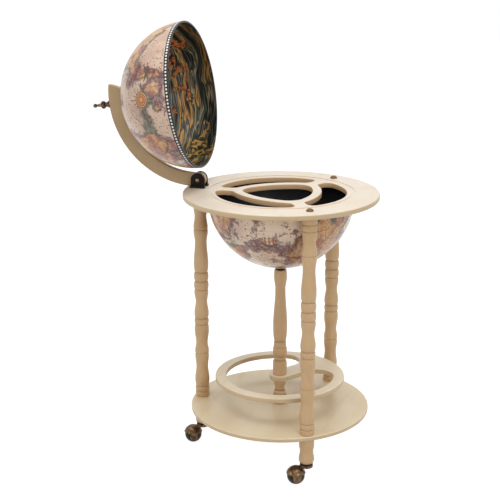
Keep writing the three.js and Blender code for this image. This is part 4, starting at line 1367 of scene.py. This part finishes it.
@dataclass
class Caster(SubAssembly):
    """One hooded ball caster, built with its swivel at the origin and trailing along X."""

    name: str
    wheel: float = 0.020
    wheel_half: float = 0.0162
    hub: float = 0.0058
    hub_gap: float = 0.0003
    recess: float = 0.0012
    lip: float = 0.0012
    lip_slope: float = 0.0006
    hood: float = 0.0228
    hood_wall: float = 0.0016
    hood_rise: float = 0.007
    ear: float = 0.0096
    plate: float = 0.0148
    plate_thick: float = 0.0056
    plate_round: float = 0.0008
    neck_half: float = 0.007
    neck_start: float = 0.0095
    neck_short: float = 0.006
    neck_above: float = 0.004
    neck_into_plate: float = 0.001
    neck_ease: float = 0.0015
    axle: float = 0.0024
    head_height: float = 1.35
    head_edge: float = 0.2
    pole_steps: int = 5
    band_steps: int = 22
    tread_steps: int = 30
    plate_steps: int = 3
    rivet_steps: int = 4

    def build(self) -> None:
        """Makes the hood, the ball, the axle and the ring."""
        swivel = Vector(joint(f"swivel_{self.name}")["pos_m"])
        hub = Vector(joint(f"roll_{self.name}")["pos_m"])
        offset = hub - swivel
        trail = Vector(offset[:2]).length
        turn = Matrix.Rotation(math.atan2(offset.y, offset.x), 4, "Z")
        upright = Matrix.Translation((swivel.x, swivel.y, 0)) @ turn
        at_hub = upright @ Matrix.Translation((trail, 0, hub.z))
        self.body(upright, trail, hub.z)
        self.ball(at_hub @ Matrix.Rotation(QUARTER, 4, "X"))
        self.rivet(at_hub @ Matrix.Rotation(QUARTER, 4, "X"))
        self.turned(f"caster_ring_{self.name}", RING_CUTS, self.finishes.ring, "dark_plastic")
        self.dress(self.finishes.zinc, f"caster_stem_{self.name}")

    def part(self, name: str, body: str, slot: str, node: str) -> Part:
        """One of its pieces, from names without the caster's own."""
        piece, rides = f"caster_{name}_{self.name}", f"{body}_{self.name}"
        return Part(piece, rides, slot, f"caster_{node}_{self.name}")

    def body(self, upright: Matrix, trail: float, height: float) -> None:
        """The swivel plate, the neck and the ball hood.

        Args:
            upright: Place of the swivel axis at the floor.
            trail: Distance from the swivel axis to the ball's centre.
            height: Height of the ball's centre.
        """
        part = self.part("hood", "caster", "antique_brass", "body")
        shaper = Shaper()
        flat = QUARTER - math.asin(self.ear / self.hood)
        pole = arc(0, 0, self.hood, QUARTER, flat, self.pole_steps)
        side = arc(0, 0, self.hood, flat, -flat, self.band_steps)
        other = arc(0, 0, self.hood, -flat, -QUARTER, self.pole_steps)
        shaper.turn([*pole, *side[1:], *other[1:]], BALL_STEPS)
        shaper.place(Matrix.Rotation(QUARTER, 4, "X"))
        self.trim(shaper.bm)
        shell = shaper.bm.faces[:]
        bmesh.ops.recalc_face_normals(shaper.bm, faces=shell)
        bmesh.ops.solidify(shaper.bm, geom=shell, thickness=self.hood_wall)
        bmesh.ops.translate(shaper.bm, verts=shaper.bm.verts, vec=(trail, 0, height))
        top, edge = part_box(part.node)[1].z, self.plate_round
        low = top - self.plate_thick
        outline = [(0.0, low)]
        outline += arc(self.plate - edge, low + edge, edge, -QUARTER, 0, self.plate_steps)
        outline += arc(self.plate - edge, top - edge, edge, 0, QUARTER, self.plate_steps)
        shaper.turn([*outline, (0.0, top)])
        above = height + self.hood_rise + self.neck_above
        neck_low = Vector((self.neck_start, -self.neck_half, above))
        neck_high = Vector((trail - self.neck_short, self.neck_half, low + self.neck_into_plate))
        shaper.block(neck_low, neck_high, self.neck_ease)
        self.seat(shaper, part, upright, [self.finishes.hood])

    def trim(self, bm: bmesh.types.BMesh) -> None:
        """Cuts the ball shell to a cap, two ears and the straps that join them.

        Args:
            bm: The whole shell about the origin, its poles along Y.
        """
        cuts = (
            ((0, 0, self.hood_rise), (0, 0, 1)), ((0, 0, 0), (0, 0, 1)),
            ((self.ear, 0, 0), (1, 0, 0)), ((-self.ear, 0, 0), (1, 0, 0)),
        )
        for spot, normal in cuts:
            bmesh.ops.bisect_plane(
                bm, geom=[*bm.verts, *bm.edges, *bm.faces], dist=CUT_SLACK, plane_co=spot,
                plane_no=normal,
            )

        def kept(spot: Vector) -> bool:
            """Whether a place is on the cap, a strap or an ear."""
            in_strap = abs(spot.x) < self.ear and spot.z > 0
            return spot.z > self.hood_rise or in_strap or math.hypot(spot.x, spot.z) < self.ear

        extra = [face for face in bm.faces if not kept(face.calc_center_median())]
        bmesh.ops.delete(bm, geom=extra, context="FACES")

    def ball(self, place: Matrix) -> None:
        """The black ball wheel with flat hubs.

        Args:
            place: Its centre, with the axle along Z.
        """
        flat = math.asin(self.wheel_half / self.wheel)
        lip, bore = self.wheel * math.cos(flat) - self.lip, self.axle + self.hub_gap
        recess = self.wheel_half - self.recess
        hub = [(bore, recess), (lip - self.lip_slope, recess), (lip, self.wheel_half)]
        outline = [(radius, -height) for radius, height in hub]
        outline += arc(0, 0, self.wheel, -flat, flat, self.tread_steps) + hub[::-1]
        shaper = Shaper()
        shaper.turn(outline, BALL_STEPS, closed=True)
        part = self.part("ball", "wheel", "black_plastic", "wheel")
        self.seat(shaper, part, place, [self.finishes.ball])

    def rivet(self, place: Matrix) -> None:
        """The axle with a domed head on each ear.

        Args:
            place: The ball's centre, with the axle along Z.
        """
        reach, head, shank = self.hood / MM, self.hub / MM, self.axle / MM
        shoulder = reach - self.head_height
        rim = shoulder + self.head_edge
        cuts: Cuts = (
            (-reach, 0, R), (-rim, head, Q), (-shoulder, head, Q), (-shoulder, shank, Q),
            (shoulder, shank, Q), (shoulder, head, Q), (rim, head, Q), (reach, 0, R),
        )
        part = self.part("rivet", "caster", "antique_brass", "axle")
        self.turned_on(part, cuts, place, self.finishes.hood, self.rivet_steps)


@dataclass(frozen=True)
class Lamp:
    """One soft square lamp."""

    name: str
    spot: Colour
    size: float
    power: float


@dataclass
class Studio:
    """Pale floor, white surround, soft lamps and the camera."""

    floor_half: float = 9.0
    floor_lit: Colour = (0.78, 0.77, 0.75)
    floor_seen: Colour = (0.3, 0.3, 0.3)
    floor_glow: float = 0.93
    white: Colour = (1.0, 1.0, 1.0)
    ambient: float = 0.47
    aim: Colour = (0.05, 0.0, 0.5)
    lamps: tuple[Lamp, ...] = (
        Lamp("lamp_top", (0.2, -0.2, 3.0), 2.9, 60.0),
        Lamp("lamp_right", (2.4, -2.2, 1.7), 1.3, 17.0),
        Lamp("lamp_left", (-2.2, -1.8, 1.4), 1.4, 12.0),
    )
    eye: Colour = (0.7194, -2.5373, 1.2417)
    heading: float = math.radians(15.0)
    pitch: float = math.radians(16.04)
    lens: float = 85.85
    sensor: float = 36.0

    def build(self) -> None:
        """Sets everything that isn't the bar."""
        bpy.context.scene.view_settings.view_transform = "Standard"
        self.surround()
        self.floor()
        for lamp in self.lamps:
            self.light(lamp)
        self.camera()

    def surround(self) -> None:
        """White where the camera and reflections look, softer for the light that it gives."""
        world = bpy.data.worlds.new("surround")
        bpy.context.scene.world = world
        world.use_nodes = True
        tree = world.node_tree
        tree.nodes.remove(tree.nodes["Background"])
        graph = Graph(tree)
        kind = "ShaderNodeBackground"
        soft = graph.node(kind, {"Color": self.white, "Strength": self.ambient})
        bright = graph.node(kind, {"Color": self.white})
        graph.feed(tree.nodes["World Output"], {"Surface": graph.seen(soft, bright)})

    def floor(self) -> None:
        """A pale floor that keeps a light shadow and is white where it is lit."""
        bm = bmesh.new()
        bmesh.ops.create_grid(bm, x_segments=1, y_segments=1, size=self.floor_half)
        floor = add_mesh("floor", bm)
        material = bpy.data.materials.new("pale_floor")
        material.use_nodes = True
        tree = material.node_tree
        tree.nodes.remove(tree.nodes["Principled BSDF"])
        graph = Graph(tree)
        plain = graph.node("ShaderNodeBsdfDiffuse", {"Color": self.floor_lit})
        shade = graph.node("ShaderNodeBsdfDiffuse", {"Color": self.floor_seen})
        glow = graph.node("ShaderNodeEmission", {"Strength": self.floor_glow})
        both = graph.node("ShaderNodeAddShader", {0: shade, 1: glow})
        graph.feed(tree.nodes["Material Output"], {"Surface": graph.seen(plain, both)})
        floor.data.materials.append(material)

    def light(self, lamp: Lamp) -> None:
        """Adds one lamp that faces the bar."""
        data = bpy.data.lights.new(lamp.name, "AREA")
        data.shape, data.size, data.energy = "SQUARE", lamp.size, lamp.power
        made = add_object(lamp.name, data)
        made.location = lamp.spot
        away = Vector(lamp.spot) - Vector(self.aim)
        made.rotation_euler = away.to_track_quat("Z", "Y").to_euler()

    def camera(self) -> None:
        """Adds the camera at the photograph's angle."""
        data = bpy.data.cameras.new("camera")
        data.lens, data.sensor_width = self.lens, self.sensor
        made = add_object("camera", data)
        made.location = self.eye
        made.rotation_euler = (QUARTER - self.pitch, 0.0, self.heading)
        bpy.context.scene.camera = made


def main() -> None:
    """Builds the bar's sub-assemblies in order, then the studio."""
    logging.basicConfig(level=logging.INFO, format="%(name)s: %(message)s")
    finishes = Palette()
    Studio().build()
    TopBoard(finishes).build()
    Shelves(finishes).build()
    Frame(finishes).build()
    globes = Globes(finishes)
    globes.build()
    LidArm(finishes, globes.dome_globe()).build()
    Hinge(finishes).build()
    for name in LEGS:
        Caster(finishes, name).build()


if __name__ == "__main__":
    main()
